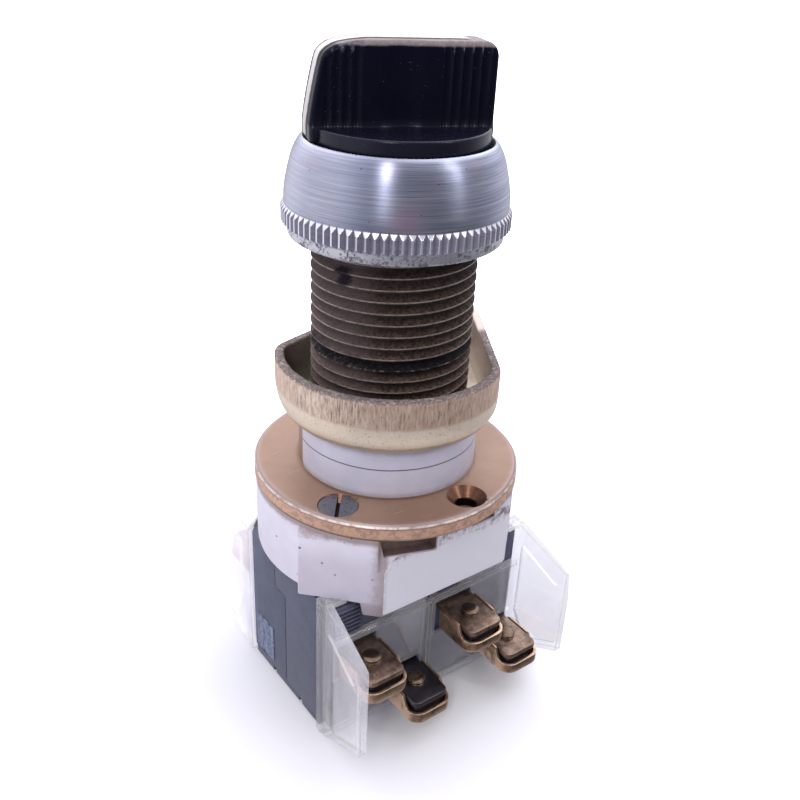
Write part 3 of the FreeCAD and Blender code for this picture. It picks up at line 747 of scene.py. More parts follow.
def make_countersink():
    # copper in the countersink, its colour darkened partly as painted shade for the hole
    m = Surface("csk_copper", (128, 84, 58), rough=0.3, metal=0.85)
    n = m.noise(1.6, detail=5, rough=0.65)
    m.paint(m.mix(n, (138, 98, 76), (86, 60, 48)))
    # painted shade: near black down in the bore below the countersink
    m.coat(m.z.step(-1.6, -2.2), (18, 12, 11))
    m.relief(n, mm=0.05)
    return m.material


def label_surface(name):
    # pale speckled film, shared by both labels
    m = Surface(name, (214, 212, 226), rough=0.34, metal=0.18)
    m.paint(m.mix(m.noise(0.3), (218, 216, 231), (198, 195, 213)))
    specks = m.noise(1.3, detail=6, rough=0.75).step(0.655, 0.70) * 0.55
    m.coat(specks, (116, 106, 110))
    return m


def make_id_label():
    m = label_surface("label_film")
    # thin printed rule, stopping short of +x
    wobble = (m.noise(0.12, detail=2) - 0.5) * 0.1
    rule = (m.z + wobble).band(5.98, 6.24, soft=0.04)
    m.coat(rule * m.x.step(17.0, 16.4) * 0.85, (74, 72, 92))
    # darker along the bottom and top edges
    m.coat(m.z.step(1.6, 0.2) * (m.noise(0.8, detail=5) * 0.8), (134, 116, 112))
    m.coat((m.z + m.noise(0.4)).step(9.0, 10.6) * 0.6, (124, 116, 124))
    m.set("Roughness", 0.28 + m.noise(2.5) * 0.16)
    m.relief(m.noise(1.2, detail=4), mm=0.02)
    return m.material


def make_side_label():
    m = label_surface("side_label_film")
    m.coat(0.7, (246, 244, 252))
    n = m.noise(0.9, detail=6, rough=0.75)
    # brown staining along the left edge and under the flange
    left = (m.x + n * 3.2).step(-12.2, -14.0)
    top = (m.z + (n - 0.5) * 9.0).step(-9.6, -6.8)
    stain = (left * 0.55).max(top * 0.85)
    m.coat(stain * n.step(0.36, 0.62), (112, 84, 78))
    m.relief(n, mm=0.03)
    return m.material


def make_screw_steel():
    m = Surface("screw_steel", (96, 104, 112), rough=0.42, metal=0.9)
    n = m.noise(2.4, detail=6, rough=0.7)
    m.paint(m.mix(n, (150, 150, 156), (86, 86, 94)))
    m.coat(m.z.step(-0.45, -1.0), (58, 46, 42))
    m.coat(m.noise(1.1, detail=5, rough=0.7).step(0.58, 0.66) * 0.6, (52, 44, 42))
    m.set("Roughness", 0.34 + n * 0.2)
    m.relief(n, mm=0.06, strength=0.6)
    return m.material


def make_housing():
    m = Surface("housing_plastic", (224, 220, 233), rough=0.42)
    m.paint(m.mix(m.noise(0.25), (231, 227, 240), (212, 206, 222)))
    fine = m.noise(1.4, detail=7, rough=0.78)
    m.coat(fine.step(0.655, 0.70) * 0.8, (112, 92, 88))
    chips = m.cells(0.34).step(0.12, 0.06) * m.noise(0.2, detail=2).step(0.42, 0.5)
    m.coat(chips * 0.85, (70, 50, 46))
    # stains beside the label's left edge and on the tab; painted shade inside the notch
    n = m.noise(0.7, detail=6, rough=0.72)
    corner = (abs(m.x + 15.4) + n * 2.4).step(3.2, 1.2) * m.y.step(-16.5, -18.5)
    m.coat(corner * 0.75, (134, 104, 96))
    tab = (m.z + n * 3.0).step(-15.8, -18.0) * m.x.step(-12.0, -15.0)
    m.coat(tab * (m.y.step(-15.0, -18.0) * 0.6), (158, 140, 136))
    notch = (m.y.step(-21.0, -20.6)
             * (m.z.step(-10.6, -10.0)
                * (abs(m.x).step(16.2, 15.8) * m.y.step(-18.0, -18.6))))
    m.coat(notch, m.mix(n, (76, 62, 62), (142, 120, 115)))
    # painted shade on the slanting pad face, for how the light falls on it; painted shade in a
    # band just under the flange; darker along the bottom
    pad = (m.x + m.y).step(-35.7, -36.1) * m.z.step(-5.5, -10.5)
    m.coat(pad * 0.44, (178, 168, 182))
    m.coat((m.z + n * 1.6).step(-4.4, -3.2) * 0.7, (124, 96, 84))
    m.coat((m.z + n * 1.2).step(-17.0, -17.9) * 0.35, (136, 124, 130))
    m.set("Roughness", 0.34 + fine * 0.2)
    m.relief(m.noise(3.2, detail=4), mm=0.02)
    return m.material


def make_block_plastic():
    m = Surface("block_plastic", (74, 77, 98), rough=0.48)
    fine = m.noise(2.0, detail=6, rough=0.7)
    m.paint(m.mix(m.noise(0.35, detail=4, rough=0.6), (64, 68, 90), (88, 92, 114)))
    m.coat(fine.step(0.56, 0.68) * 0.5, (124, 126, 146))
    m.coat(m.edge(0.35) * fine.step(0.4, 0.6) * 0.5, (138, 140, 158))
    # painted shade in the crevices
    m.coat(m.crevice_shade(1.2) * 0.7, (36, 30, 36))
    m.set("Roughness", 0.38 + fine * 0.22)
    m.relief(fine, mm=0.04)
    return m.material


def make_block_pad():
    m = Surface("block_pad", (128, 138, 168), rough=0.5)
    n = m.noise(1.0, detail=5, rough=0.7)
    bars = m.math("SINE", m.y * 2.6).step(0.1, 0.8)
    m.paint(m.mix(n.step(0.4, 0.6), (74, 80, 108), (122, 132, 164)))
    m.coat(bars * 0.25, (156, 164, 190))
    m.relief(n, mm=0.05)
    return m.material


def make_clear(name, pale, through, gloss, extra_haze=0.0):
    # thin clear moulding: see-through, with a milky skin lit from both sides and a soft
    # reflection; pale is the skin's two colours, through tints what is seen behind
    m = Material(name)
    cloud = m.noise(0.35, detail=4, rough=0.6)
    fine = m.noise(1.8, detail=6, rough=0.75)
    # haze changes on the standing-out fins, at the far left and on the rear covers
    fin = abs(m.y).step(17.9, 18.4)
    rear = m.y.step(0.0, 1.0)
    left = m.x.step(-20.0, -23.0) * ~rear
    haze = rear.choose(fin.choose(0.10, left.choose(-0.04, 0.15)), 0.34)
    haze = haze + fine.step(0.56, 0.74) * 0.07
    haze = haze + (cloud - 0.5) * 0.12
    if extra_haze:
        haze = haze + extra_haze
    skin_color = m.mix(cloud, *pale)
    body = m.value("AddShader", {
        0: m.value("BsdfDiffuse", {0: skin_color}),
        1: m.value("BsdfTranslucent", {0: skin_color})})
    skin = m.value("MixShader", {
        0: m.math("ADD", haze, 0.0, clamp=True),
        1: m.value("BsdfTransparent", {0: linear(through)}),
        2: body})
    reflection = m.value("BsdfGlossy", {
        "Roughness": 0.10 + fine.step(0.5, 0.75) * 0.2,
        "Normal": m.bump(cloud, mm=0.10, strength=0.3)})
    fresnel = m.value("Fresnel", {"IOR": 1.35})
    top = m.value("MixShader", {0: (fresnel * gloss).min(0.35), 1: skin, 2: reflection})
    # shadow and diffuse rays mostly pass through
    passing = m.either_ray("Is Shadow Ray", "Is Diffuse Ray") * 0.85
    clear = m.value("BsdfTransparent", {0: linear((240, 240, 244))})
    m.node("OutputMaterial", {0: m.value("MixShader", {0: passing, 1: top, 2: clear})})
    return m.material


def make_strap():
    m = Surface("strap_brass", (112, 92, 72), rough=0.34, metal=0.85)
    fine = m.noise(2.6, detail=5, rough=0.7)
    m.paint(m.noise(0.5, detail=5, rough=0.65).ramp([
        (0.30, (76, 62, 56)), (0.5, (132, 110, 97)), (0.68, (170, 147, 129))]))
    m.coat(fine.step(0.56, 0.66) * 0.5, (60, 46, 40))
    m.coat(m.edge(0.3) * 0.6, (196, 176, 156))
    m.set("Roughness", 0.26 + fine * 0.25)
    m.relief(fine, mm=0.05)
    return m.material


def make_strap_dark():
    m = Surface("strap_dark", (44, 42, 50), rough=0.32, metal=0.8)
    n = m.noise(0.8, detail=5, rough=0.65)
    m.paint(m.mix(n, (40, 39, 50), (88, 82, 88)))
    m.coat(m.edge(0.3) * 0.5, (150, 140, 134))
    m.set("Roughness", 0.22 + n * 0.25)
    m.relief(n, mm=0.06)
    return m.material


def make_clamp():
    m = Surface("clamp_plating", (176, 150, 112), rough=0.27, metal=0.95)
    fine = m.noise(2.0, detail=5, rough=0.7)
    m.paint(m.noise(0.35, rough=0.6, distortion=0.6).ramp([
        (0.30, (118, 94, 78)), (0.44, (178, 150, 122)), (0.54, (192, 146, 128)),
        (0.64, (178, 160, 124)), (0.76, (140, 114, 102))]))
    m.coat(fine.step(0.54, 0.66) * 0.6, (64, 48, 42))
    # painted highlight: bright rims along the edges
    m.coat(m.edge(0.35, start=0.002, end=0.108) * 0.85, (240, 222, 196))
    m.set("Roughness", 0.2 + fine * 0.25)
    m.relief(fine, mm=0.05)
    return m.material


def make_terminal_screw():
    m = Surface("terminal_screw_brass", (156, 136, 104), rough=0.3, metal=0.95)
    n = m.noise(2.4, detail=5, rough=0.7)
    m.paint(m.mix(n, (142, 122, 104), (84, 66, 56)))
    m.set("Roughness", 0.12 + n * 0.2)
    m.relief(n, mm=0.08, strength=0.6)
    return m.material


def make_mottled(name, light, dark, rough, metal=0.0):
    m = Surface(name, light, rough, metal)
    n = m.noise(1.2, detail=5, rough=0.65)
    m.paint(m.mix(n, light, dark))
    m.set("Roughness", rough - 0.08 + n * 0.2)
    m.relief(n, mm=0.04)
    return m.material


KNOB_BLACK = make_knob_black()
INSERT_WHITE = make_insert_white()
BEZEL = make_bezel()
THREAD = make_thread()
CUP = make_cup()
CUP_INSIDE = make_cup_inside()
FLANGE = make_flange()
COUNTERSINK = make_countersink()
ID_LABEL = make_id_label()
SIDE_LABEL = make_side_label()
SCREW = make_screw_steel()
HOUSING = make_housing()
BLOCK = make_block_plastic()
BLOCK_PAD = make_block_pad()
CLEAR = make_clear("cover_clear", pale=((240, 239, 246), (226, 224, 232)),
                   through=(254, 254, 255), gloss=0.55)
CLEAR_EDGE = make_clear("cover_clear_edge", pale=((206, 206, 200), (178, 178, 170)),
                        through=(242, 242, 236), gloss=0.8, extra_haze=0.16)
STRAP = make_strap()
STRAP_DARK = make_strap_dark()
CLAMP = make_clamp()
TERMINAL_SCREW = make_terminal_screw()
STEEL = make_mottled("steel_turned", (150, 152, 158), (104, 104, 110), rough=0.34, metal=0.95)
SPRING = make_mottled("spring_steel", (132, 134, 140), (86, 84, 88), rough=0.3, metal=0.95)
RUBBER = make_mottled("seal_rubber", (22, 22, 24), (44, 42, 44), rough=0.6)
BRONZE = make_mottled("bush_bronze", (142, 106, 66), (98, 70, 44), rough=0.42, metal=0.85)
ACETAL = make_mottled("cam_acetal", (214, 210, 200), (186, 180, 168), rough=0.42)
BRASS = make_mottled("contact_brass", (176, 146, 92), (126, 100, 62), rough=0.32, metal=0.9)
PIN_WHITE = make_mottled("actuator_white", (220, 218, 216), (192, 188, 186), rough=0.4)


# ================================================================ threaded barrel
PITCH = 2.117
THREAD_LOW, THREAD_HIGH = 12.3, 59.0
# one thread: (height within the pitch, radius)
THREAD_SHAPE = [
    (0.0, 14.96), (0.06, 15.08), (0.24, 15.08), (0.31, 14.96), (0.94, 13.92),
    (1.06, 13.83), (1.36, 13.83), (1.48, 13.92), (PITCH, 14.96)]
# plain profile (r, z) before and after the thread
BARREL_FOOT = [
    (4.05, FLANGE_BOTTOM), (11.95, FLANGE_BOTTOM), (12.0, -3.3), (12.0, HUB_TOP),
    (14.4, 10.52), (14.55, 10.7), (14.55, 12.2)]
BARREL_TOP = [
    (14.2, 59.4), (14.05, 59.5), (7.2, 59.5), (7.0, 59.3), (7.0, 4.0), (4.05, 4.0)]


def thread_radius(z, t):
    r = lookup(THREAD_SHAPE, (z - PITCH * t / (2 * math.pi)) % PITCH)
    # the thread runs out at both ends
    end = min(z - THREAD_LOW, THREAD_HIGH - z)
    return min(r, 14.35 + max(end, 0.0) * 0.9)


def build_barrel():
    segs = 168
    turns = int((THREAD_HIGH - THREAD_LOW) / PITCH) + 3
    per = len(THREAD_SHAPE) - 1
    first = len(BARREL_FOOT)
    last = first + (turns + 1) * per - 1
    verts = []
    for j in range(segs):
        t = 2 * math.pi * j / segs
        column = list(BARREL_FOOT)
        for k in range(-1, turns):
            for u, _ in THREAD_SHAPE[:-1]:
                z = (THREAD_LOW + PITCH * k + u + PITCH * (t / (2 * math.pi) % 1.0)
                     - (THREAD_LOW % PITCH))
                z = min(max(z, THREAD_LOW), THREAD_HIGH)
                column.append((thread_radius(z, t), z))
        column += BARREL_TOP
        verts.extend((r * math.cos(t), r * math.sin(t), z) for r, z in column)
    n = len(column)
    # the last and first columns are one pitch out of step, so they are joined by row shift
    faces = []
    for j in range(segs):
        k = (j + 1) % segs
        for a in range(n):
            b = (a + 1) % n
            c, d = a, b
            if k == 0 and first <= a < last:
                c, d = min(a + per, last), min(b + per, last)
            faces.append((j * n + a, k * n + c, k * n + d, j * n + b))
    # triangles closing the foot of the shifted seam
    for i in range(per):
        faces.append(((segs - 1) * n + first, first + i, first + i + 1))
    faces = [tuple(dict.fromkeys(face)) for face in faces]
    faces = [face for face in faces if len(face) > 2]
    piece(mesh(verts, faces, THREAD), "barrel_thread", "threaded_barrel", 40)


build_barrel()

# ================================================================ bezel ring
TEETH = 85
KNURLED = 99.0      # stands in for a radius that the knurl decides
KNURL_STATIONS = [
    47.32, 47.42, 47.52, 47.62, 47.72, 47.82, 48.0, 48.6, 49.2,
    49.8, 50.1, 50.2, 50.3, 50.4, 50.5, 50.6, 50.7, 50.8]
# crest radius of the knurl by height: (z, r)
KNURL_CRESTS = [(47.25, 19.5), (47.82, KNURL_R), (50.1, KNURL_R), (50.85, 19.74)]
# profile (r, z): bottom rim, upper skirt, then lip and bore
BEZEL_RIM = [
    (15.5, 45.3), (18.75, 45.3), (18.98, 45.36), (19.12, 45.5), (19.2, 45.72),
    (19.2, 46.4), (19.2, 47.1), (19.26, 47.2)]
BEZEL_SKIRT = [
    (19.72, 50.95), (19.72, 52.5), (19.5, 54.2), (19.1, 56.2), (18.6, 58.2),
    (18.26, 59.2), (17.84, 60.2), (17.3, 61.1), (16.9, 61.6), (16.55, 61.86)]
BEZEL_BORE = [
    (16.42, 61.9), (16.33, 61.82), (16.3, 61.6), (16.3, 54.0), (15.16, 53.4), (15.16, 45.7)]


def bezel_radius(r, z, t):
    if r != KNURLED:
        return r
    across = abs(((t * TEETH / (2 * math.pi)) % 1.0) - 0.5) * 2       # 0 mid groove, 1 crest
    tooth = GROOVE_R + (KNURL_R - GROOVE_R) * min(across / 0.80, 1.0)
    return min(lookup(KNURL_CRESTS, z), tooth)


def build_bezel():
    profile = (BEZEL_RIM + [(KNURLED, z) for z in KNURL_STATIONS]
               + spline(BEZEL_SKIRT, 3) + BEZEL_BORE)
    ob = lathe(profile, TEETH * 10, BEZEL, radius=bezel_radius)
    piece(ob, "bezel_shell", "bezel_ring", 28, body="bezel_ring")


build_bezel()

# ================================================================ locating cup
CUP_R, CUP_FOOT_R = 21.85, 18.2              # wall, and where the rounded bottom starts
CUP_WALL = 1.8
CUP_BOTTOM, CUP_FLOOR, CUP_BEND = 10.5, 12.3, 17.3
CUP_BORE_R = 15.16
# straight sides of the outline: (direction in degrees, distance from the axis)
CUP_FLATS = [(-31.8, 20.0), (106.8, 17.5)]
# facets round the corner, whose arc has radius 6 about a point 15.85 out at 150.3 degrees
CUP_CORNER = [(a, 15.85 * math.cos(math.radians(150.3 - a)) + 6.0) for a in range(109, 150, 4)]
# rim section: (inset, z)
CUP_RIM = [
    (0.0, 18.6), (0.0, 20.0), (0.0, 21.2), (0.0, 21.7), (0.08, 21.95), (0.24, 22.13),
    (0.48, 22.2), (1.0, 22.2), (1.42, 22.18), (1.66, 22.08), (1.78, 21.9), (CUP_WALL, 21.6),
    (CUP_WALL, 19.5), (CUP_WALL, CUP_BEND)]


def cup_outline(t, circle, inset):
    # the bowl reaches further out between the two flats
    degrees = math.degrees(t)
    degrees = degrees - 360.0 if degrees > 180.0 else degrees
    u = max(0.0, min(1.0, (degrees + 26.0) / 20.0))
    v = max(0.0, min(1.0, (88.0 - degrees) / 20.0))
    extra = 6.65 * u * u * (3 - 2 * u) * v * v * (3 - 2 * v)
    r = circle + extra - inset
    for direction, distance in CUP_FLATS:
        c = math.cos(t - math.radians(direction))
        if c > 0.2:
            r = smooth_min(r, (distance - inset) / c, 1.1)
    for direction, distance in CUP_CORNER:
        c = math.cos(t - math.radians(direction))
        if c > 0.5:
            r = min(r, (distance - inset) / c)
    return r


def cup_bend(degrees, inset, bottom):
    # a row on the quarter round between bottom and wall
    a = math.radians(degrees)
    return (CUP_FOOT_R + (CUP_R - CUP_FOOT_R) * math.sin(a), inset,
            CUP_BEND - (CUP_BEND - bottom) * math.cos(a))


def build_cup():
    segs = 288
    rng = random.Random(5)
    jitter = [rng.uniform(-1, 1) for _ in range(segs)]
    # rows (radius, inset, z); an inset of None keeps the row round
    rows = [(CUP_BORE_R, None, 10.7), (15.3, None, CUP_BOTTOM), (16.9, None, CUP_BOTTOM)]
    rows += [cup_bend(a, 0.0, CUP_BOTTOM) for a in range(0, 91, 6)]
    rows += [(CUP_R, inset, z) for inset, z in CUP_RIM]
    rows += [cup_bend(a, CUP_WALL, CUP_FLOOR) for a in range(80, -1, -10)]
    rows += [(15.6, None, CUP_FLOOR), (CUP_BORE_R, None, 12.2)]
    columns = []
    for j in range(segs):
        t = 2 * math.pi * j / segs
        wave = 0.5 * jitter[j] + 0.25 * jitter[j - 1] + 0.25 * jitter[(j + 1) % segs]
        column = []
        for radius, inset, z in rows:
            r = radius
            if inset is not None:
                r = cup_outline(t, radius, inset)
                if radius < 18.6 or z < 12.5:
                    r = max(r, 15.9)
                # uneven rim
                if z > 21.8:
                    z += 0.05 * wave
                    r += 0.03 * jitter[(j * 7 + 3) % segs]
            column.append((r * math.cos(t), r * math.sin(t), z))
        columns.append(column)
    ob = ring_mesh(columns, CUP)
    ob.data.materials.append(CUP_INSIDE)
    for face in ob.data.polygons:
        c = face.center
        outward = face.normal.x * c.x + face.normal.y * c.y
        if (outward < -1.0 and c.z < 21.9) or (face.normal.z > 0.3 and c.z < 20):
            face.material_index = 1
    piece(ob, "cup_shell", "locating_cup", 40, body="locating_cup")


build_cup()

# ================================================================ flange, label, screws
FLANGE_BORE = 12.03
FLANGE_PROFILE = [                           # (r, z, corner radius)
    (FLANGE_BORE, FLANGE_BOTTOM), (25.75, FLANGE_BOTTOM, 0.15), (26.24, -3.0, 0.2),
    (26.24, -0.62, 0.12), (25.66, 0.0, 0.12), (HUB_R, 0.0, 0.3), (HUB_R, HUB_TOP, 0.25),
    (FLANGE_BORE, HUB_TOP)]
HOLE_PROFILE = [                             # (r, z)
    (0, -5.0), (2.1, -5.0), (2.1, -1.7), (3.8, 0.0), (3.95, 0.06), (3.95, 1.0), (0, 1.0)]
FLANGE_SCREW_PROFILE = [
    (0, -11.0), (1.4, -11.0), (1.7, -10.6), (1.7, -2.05), (3.42, -0.34), (3.6, -0.24),
    (3.58, -0.17), (3.3, -0.13), (0, -0.10)]
LABEL_START, LABEL_END = -192.5, -9.0        # degrees
LABEL_RADII = (17.395, 17.56)
LABEL_STATIONS = [0.25, 0.6, 1.5, 3.0, 4.5, 6.0, 7.5, 9.0, 9.8, 10.15]


def build_flange():
    ob = lathe(rounded(FLANGE_PROFILE, 4), 192, FLANGE)
    holes = [polar(HOLE_CIRCLE, angle) for angle in HOLE_ANGLES]
    cut(ob, *[move(lathe(HOLE_PROFILE, 64, COUNTERSINK, closed=False), x, y)
              for x, y in holes])
    if COUNTERSINK.name not in ob.data.materials:
        ob.data.materials.append(COUNTERSINK)
    index = list(ob.data.materials).index(COUNTERSINK)
    for face in ob.data.polygons:
        c = face.center
        if -3.45 < c.z < -0.02 and any(math.hypot(c.x - x, c.y - y) < 3.85 for x, y in holes):
            face.material_index = index
    piece(ob, "flange_disc", "flange_base", 30)


def build_id_label():
    segs = 150
    low, high = LABEL_STATIONS[0], LABEL_STATIONS[-1]
    verts, faces = [], []
    for j in range(segs + 1):
        t = math.radians(LABEL_START + (LABEL_END - LABEL_START) * j / segs)
        from_end = min(j, segs - j) * (LABEL_END - LABEL_START) / segs * math.pi / 180 * 17.5
        for r in LABEL_RADII:
            for z in LABEL_STATIONS:
                # corners rounded to 1 mm
                if from_end < 1.0:
                    c = 1.0 - math.sqrt(max(0.0, 1.0 - (1.0 - from_end) ** 2))
                    z = min(max(z, low + c), high - c)
                verts.append((r * math.cos(t), r * math.sin(t), z))
    n = len(LABEL_STATIONS)
    for j in range(segs):
        for i in range(n - 1):
            a, b = j * 2 * n + i, (j + 1) * 2 * n + i
            faces.append((a, a + 1, b + 1, b))
            faces.append((a + n, b + n, b + n + 1, a + n + 1))
        a, b = j * 2 * n, (j + 1) * 2 * n
        faces.append((a, b, b + n, a + n))
        faces.append((a + n - 1, a + 2 * n - 1, b + 2 * n - 1, b + n - 1))
    for j in (0, segs):
        for i in range(n - 1):
            a = j * 2 * n + i
            faces.append((a, a + n, a + n + 1, a + 1))
    piece(mesh(verts, faces, ID_LABEL), "id_label_film", "id_label", 40)


def build_flange_screws():
    parts = []
    for angle in HOLE_ANGLES[::2]:
        screw = lathe(FLANGE_SCREW_PROFILE, 64, SCREW, closed=False)
        cut(screw, turn(block((-0.36, 0.36), (-5, 5), (-1.25, 1.0)), -38.0))
        parts.append(move(screw, *polar(HOLE_CIRCLE, angle)))
    piece(join(parts), "flange_screw_pair", "flange_screws", 30)


build_flange()
build_id_label()
build_flange_screws()

# ================================================================ actuator housing
HOUSING_R, HOUSING_BOTTOM = 26.0, -18.0
PAD_LINE = -36.35                            # x + y on the slanting pad at the front left
# outlines are (x, z, corner radius)
NOTCH = [(-15.9, -3.0), (-2.8, -3.0), (-2.8, -9.9), (-3.4, -10.05), (-15.2, -7.0)]
GAP = [(5.6, -3.0), (11.4, -3.0), (11.4, -8.1), (5.6, -8.3)]
SIDE_LABEL_OUTLINE = [
    (-15.0, -20.3, 0.3), (15.2, -20.3, 0.6), (15.2, -6.6), (11.8, -6.6), (11.6, -8.3, 0.3),
    (5.3, -8.5, 0.3), (5.2, -6.6), (-2.5, -6.6), (-2.5, -10.2, 0.2), (-12.6, -7.8, 1.6),
    (-15.0, -10.4, 1.4)]


def build_housing():
    ob = lathe(rounded([(0.0, HOUSING_BOTTOM), (HOUSING_R, HOUSING_BOTTOM, 0.35),
                        (HOUSING_R, FLANGE_BOTTOM, 0.15), (0.0, FLANGE_BOTTOM)], 3),
               160, HOUSING, closed=False)
    pad = prism(rounded([(-15.3, PAD_LINE + 15.3), (-26.5, PAD_LINE + 26.5, 0.4),
                         (-24.4, -7.0), (-12.0, -7.0), (-12.0, -19.0)], 3),
                HOUSING_BOTTOM, -4.5)
    fuse(ob, bevel(pad, 0.25))
    cut(ob, block((-30, 30), (-40, HOUSING_FRONT), (-23, 1)))
    # apron hanging below the flat front, with a tab at its left
    apron = prism(rounded([(-15.3, -16.0), (15.3, -16.0), (15.3, -20.6, 0.7),
                           (-15.3, -20.6, 0.1)], 3), HOUSING_FRONT, -18.6, "y")
    tab = prism([(-15.2, HOUSING_FRONT), (-18.5, PAD_LINE + 18.5), (-17.4, PAD_LINE + 20.0),
                 (-15.2, -18.6)], -20.9, -16.0)
    # slant the tab's left side so that it narrows towards its foot
    for v in tab.data.vertices:
        if v.co.z < -20 and v.co.x < -16:
            v.co.x += 0.75
            v.co.y -= 0.75
    fuse(ob, apron, bevel(tab, 0.3))
    cut(ob, rod(17.6, -15.5, 1.0, segs=96))
    fuse(ob, block((-4.0, 4.0), (9.3, 18.6), (-17.0, -9.5)))
    tools = [rod(2.05, 8.0, 24.3, z=-12.0, segs=40, axis="y"),
             prism(NOTCH, -22.2, -18.8, "y"), prism(GAP, -22.2, -19.4, "y")]
    for side in (-1, 1):
        tools.append(rod(2.05, -19, -10, side * BLOCK_X, segs=40))
        for end in (-1, 1):
            tools.append(rod(1.22, -19, -12.4, side * BLOCK_SCREW_X, end * BLOCK_SCREW_Y,
                             segs=24))
    for angle in HOLE_ANGLES:
        if angle != HOLE_ANGLES[1]:
            tools.append(rod(1.72, -11.2, -3, *polar(HOLE_CIRCLE, angle), segs=32))
    cut(ob, *tools)
    piece(ob, "housing_shell", "actuator_housing", 30)


def build_side_label():
    ob = prism(rounded(SIDE_LABEL_OUTLINE, 4), -21.36, HOUSING_FRONT, "y", SIDE_LABEL)
    piece(ob, "side_label_film", "side_label", 30)


build_housing()
build_side_label()

# ================================================================ knob
# The wing is drawn along x with the pointer at -x, then turned to the pointer angle.
WING_TOP, WING_HALF, WING_ROUND = 77.6, 4.5, 0.85
DISC_R, DISC_TOP = 15.5, 64.3
FLUTES = (-13.2, -11.6, -10.0, -8.4, 6.6, 8.2, 9.8, 11.4, 13.0)
# where the wing ends by height: (z, x)
TAIL_END = [
    (62.0, 15.2), (63.0, 15.2), (75.4, 15.2), (76.0, 15.08), (76.6, 14.8), (77.1, 14.35),
    (77.45, 13.8), (WING_TOP, 13.2)]
POINTER_END = [
    (62.0, -16.05), (63.0, -16.1), (64.5, -16.1), (67.0, -15.75), (70.0, -15.2),
    (73.0, -14.55), (75.0, -14.0), (75.9, -13.3), (76.6, -12.2), (76.95, -11.2),
    (77.2, -10.0), (77.4, -8.4), (WING_TOP, -6.4)]
SHOULDER = [(x, z) for z, x in POINTER_END]
WING_STATIONS = [
    62.1, 62.3, 62.8, 63.4, 64.0, 64.4, 64.8, 65.6, 67, 68.5, 70, 71.5, 73, 74, 74.8, 75.4,
    75.8, 76.1, 76.4, 76.6, 76.8, 76.95, 77.1, 77.2, 77.3, 77.4, 77.48, 77.54, WING_TOP]
# insert strip across its width: (y, height above the path)
STRIP_HALF = 2.0
STRIP_SECTION = [
    (-STRIP_HALF, -1.1), (-STRIP_HALF, 0.02), (-STRIP_HALF + 0.16, 0.12), (-0.8, 0.15),
    (0.8, 0.15), (STRIP_HALF - 0.16, 0.12), (STRIP_HALF, 0.02), (STRIP_HALF, -1.1)]


def wing_half(x):
    # half thickness along the wing, with grip flutes and a hollow middle
    half = WING_HALF
    for flute in FLUTES:
        d = abs(x - flute)
        if d < 0.80:
            half = min(half, WING_HALF - 0.46 * (1 - (d / 0.80) ** 2))
    c = x + 0.9
    if abs(c) < 6.6:
        hollow = WING_HALF + 8.3 - math.sqrt(max(0.0, 81.0 - c * c))
        half = smooth_min(half, smooth_max(hollow, 3.1, 0.5), 0.25)
    return half


def wing_row(z, steps):
    tail, point = lookup(TAIL_END, z), lookup(POINTER_END, z)
    # the wing flares where it meets the disc
    flare = 0.0
    if z < 64.9:
        flare = 0.35 * ((64.9 - z) / 0.6) ** 2 if z >= DISC_TOP else 0.35
    row = []
    for i in range(steps + 1):
        x = point + (tail - point) * i / steps
        d = min(x - point, tail - x, WING_TOP - z)
        if x < SHOULDER[-1][0]:
            d = min(d, lookup(SHOULDER, x) - z)
        fall = 0.0
        if d < WING_ROUND:
            inside = WING_ROUND - max(d, 0.0)
            fall = WING_ROUND - math.sqrt(max(0.0, WING_ROUND * WING_ROUND - inside ** 2))
        row.append((x, wing_half(x) - fall + flare, z))
    return row


def build_knob():
    steps = 300
    n = steps + 1
    rows = [wing_row(z, steps) for z in WING_STATIONS]
    verts = [(x, side * half, z) for side in (1, -1) for row in rows for x, half, z in row]
    other = len(rows) * n
    faces = []
    for k in range(len(rows) - 1):
        for i in range(steps):
            a, b = k * n + i, (k + 1) * n + i
            faces.append((a, a + 1, b + 1, b))
            faces.append((other + a, other + b, other + b + 1, other + a + 1))
        for i in (0, steps):
            a, b = k * n + i, (k + 1) * n + i
            faces.append((a, b, other + b, other + a))
    for k in (0, len(rows) - 1):
        for i in range(steps):
            a = k * n + i
            faces.append((a, a + 1, other + a + 1, other + a))
    wing = mesh(verts, faces, KNOB_BLACK)
    disc = lathe(rounded([(0.0, 60.2), (15.3, 60.2, 0.2), (DISC_R, 60.5, 0.2),
                          (DISC_R, DISC_TOP, 0.45), (0.0, DISC_TOP)], 6),
                 160, KNOB_BLACK, closed=False)
    ob = turn(join([wing, disc]), POINTER_ANGLE + 180)
    piece(ob, "knob_grip", "knob", 34, body="selector")


def build_insert():
    # up the pointer end and along the crest
    path = [(-16.06, 62.35)] + SHOULDER[1:]
    path += [(-3.0, 77.62), (2.0, 77.62), (7.0, 77.62), (10.9, 77.6)]
    path = spline(path, 4)
    last = len(path) - 1
    sections = []
    for i, (x, z) in enumerate(path):
        before, after = path[max(i - 1, 0)], path[min(i + 1, last)]
        dx, dz = after[0] - before[0], after[1] - before[1]
        length = math.hypot(dx, dz)
        nx, nz = -dz / length, dx / length
        section = []
        for y, height in STRIP_SECTION:
            if i in (0, last) and height > 0:
                height = height - 0.1
            section.append((x + nx * height, y, z + nz * height))
        sections.append(section)
    ob = turn(tube_mesh(sections, INSERT_WHITE), POINTER_ANGLE + 180)
    piece(ob, "pointer_strip", "knob_insert", 34, body="selector")


build_knob()
build_insert()

# ================================================================ contact blocks
BLOCK_TOP = -18.1
PLATE_TOP, PLATE_BOTTOM = -48.9, -51.0
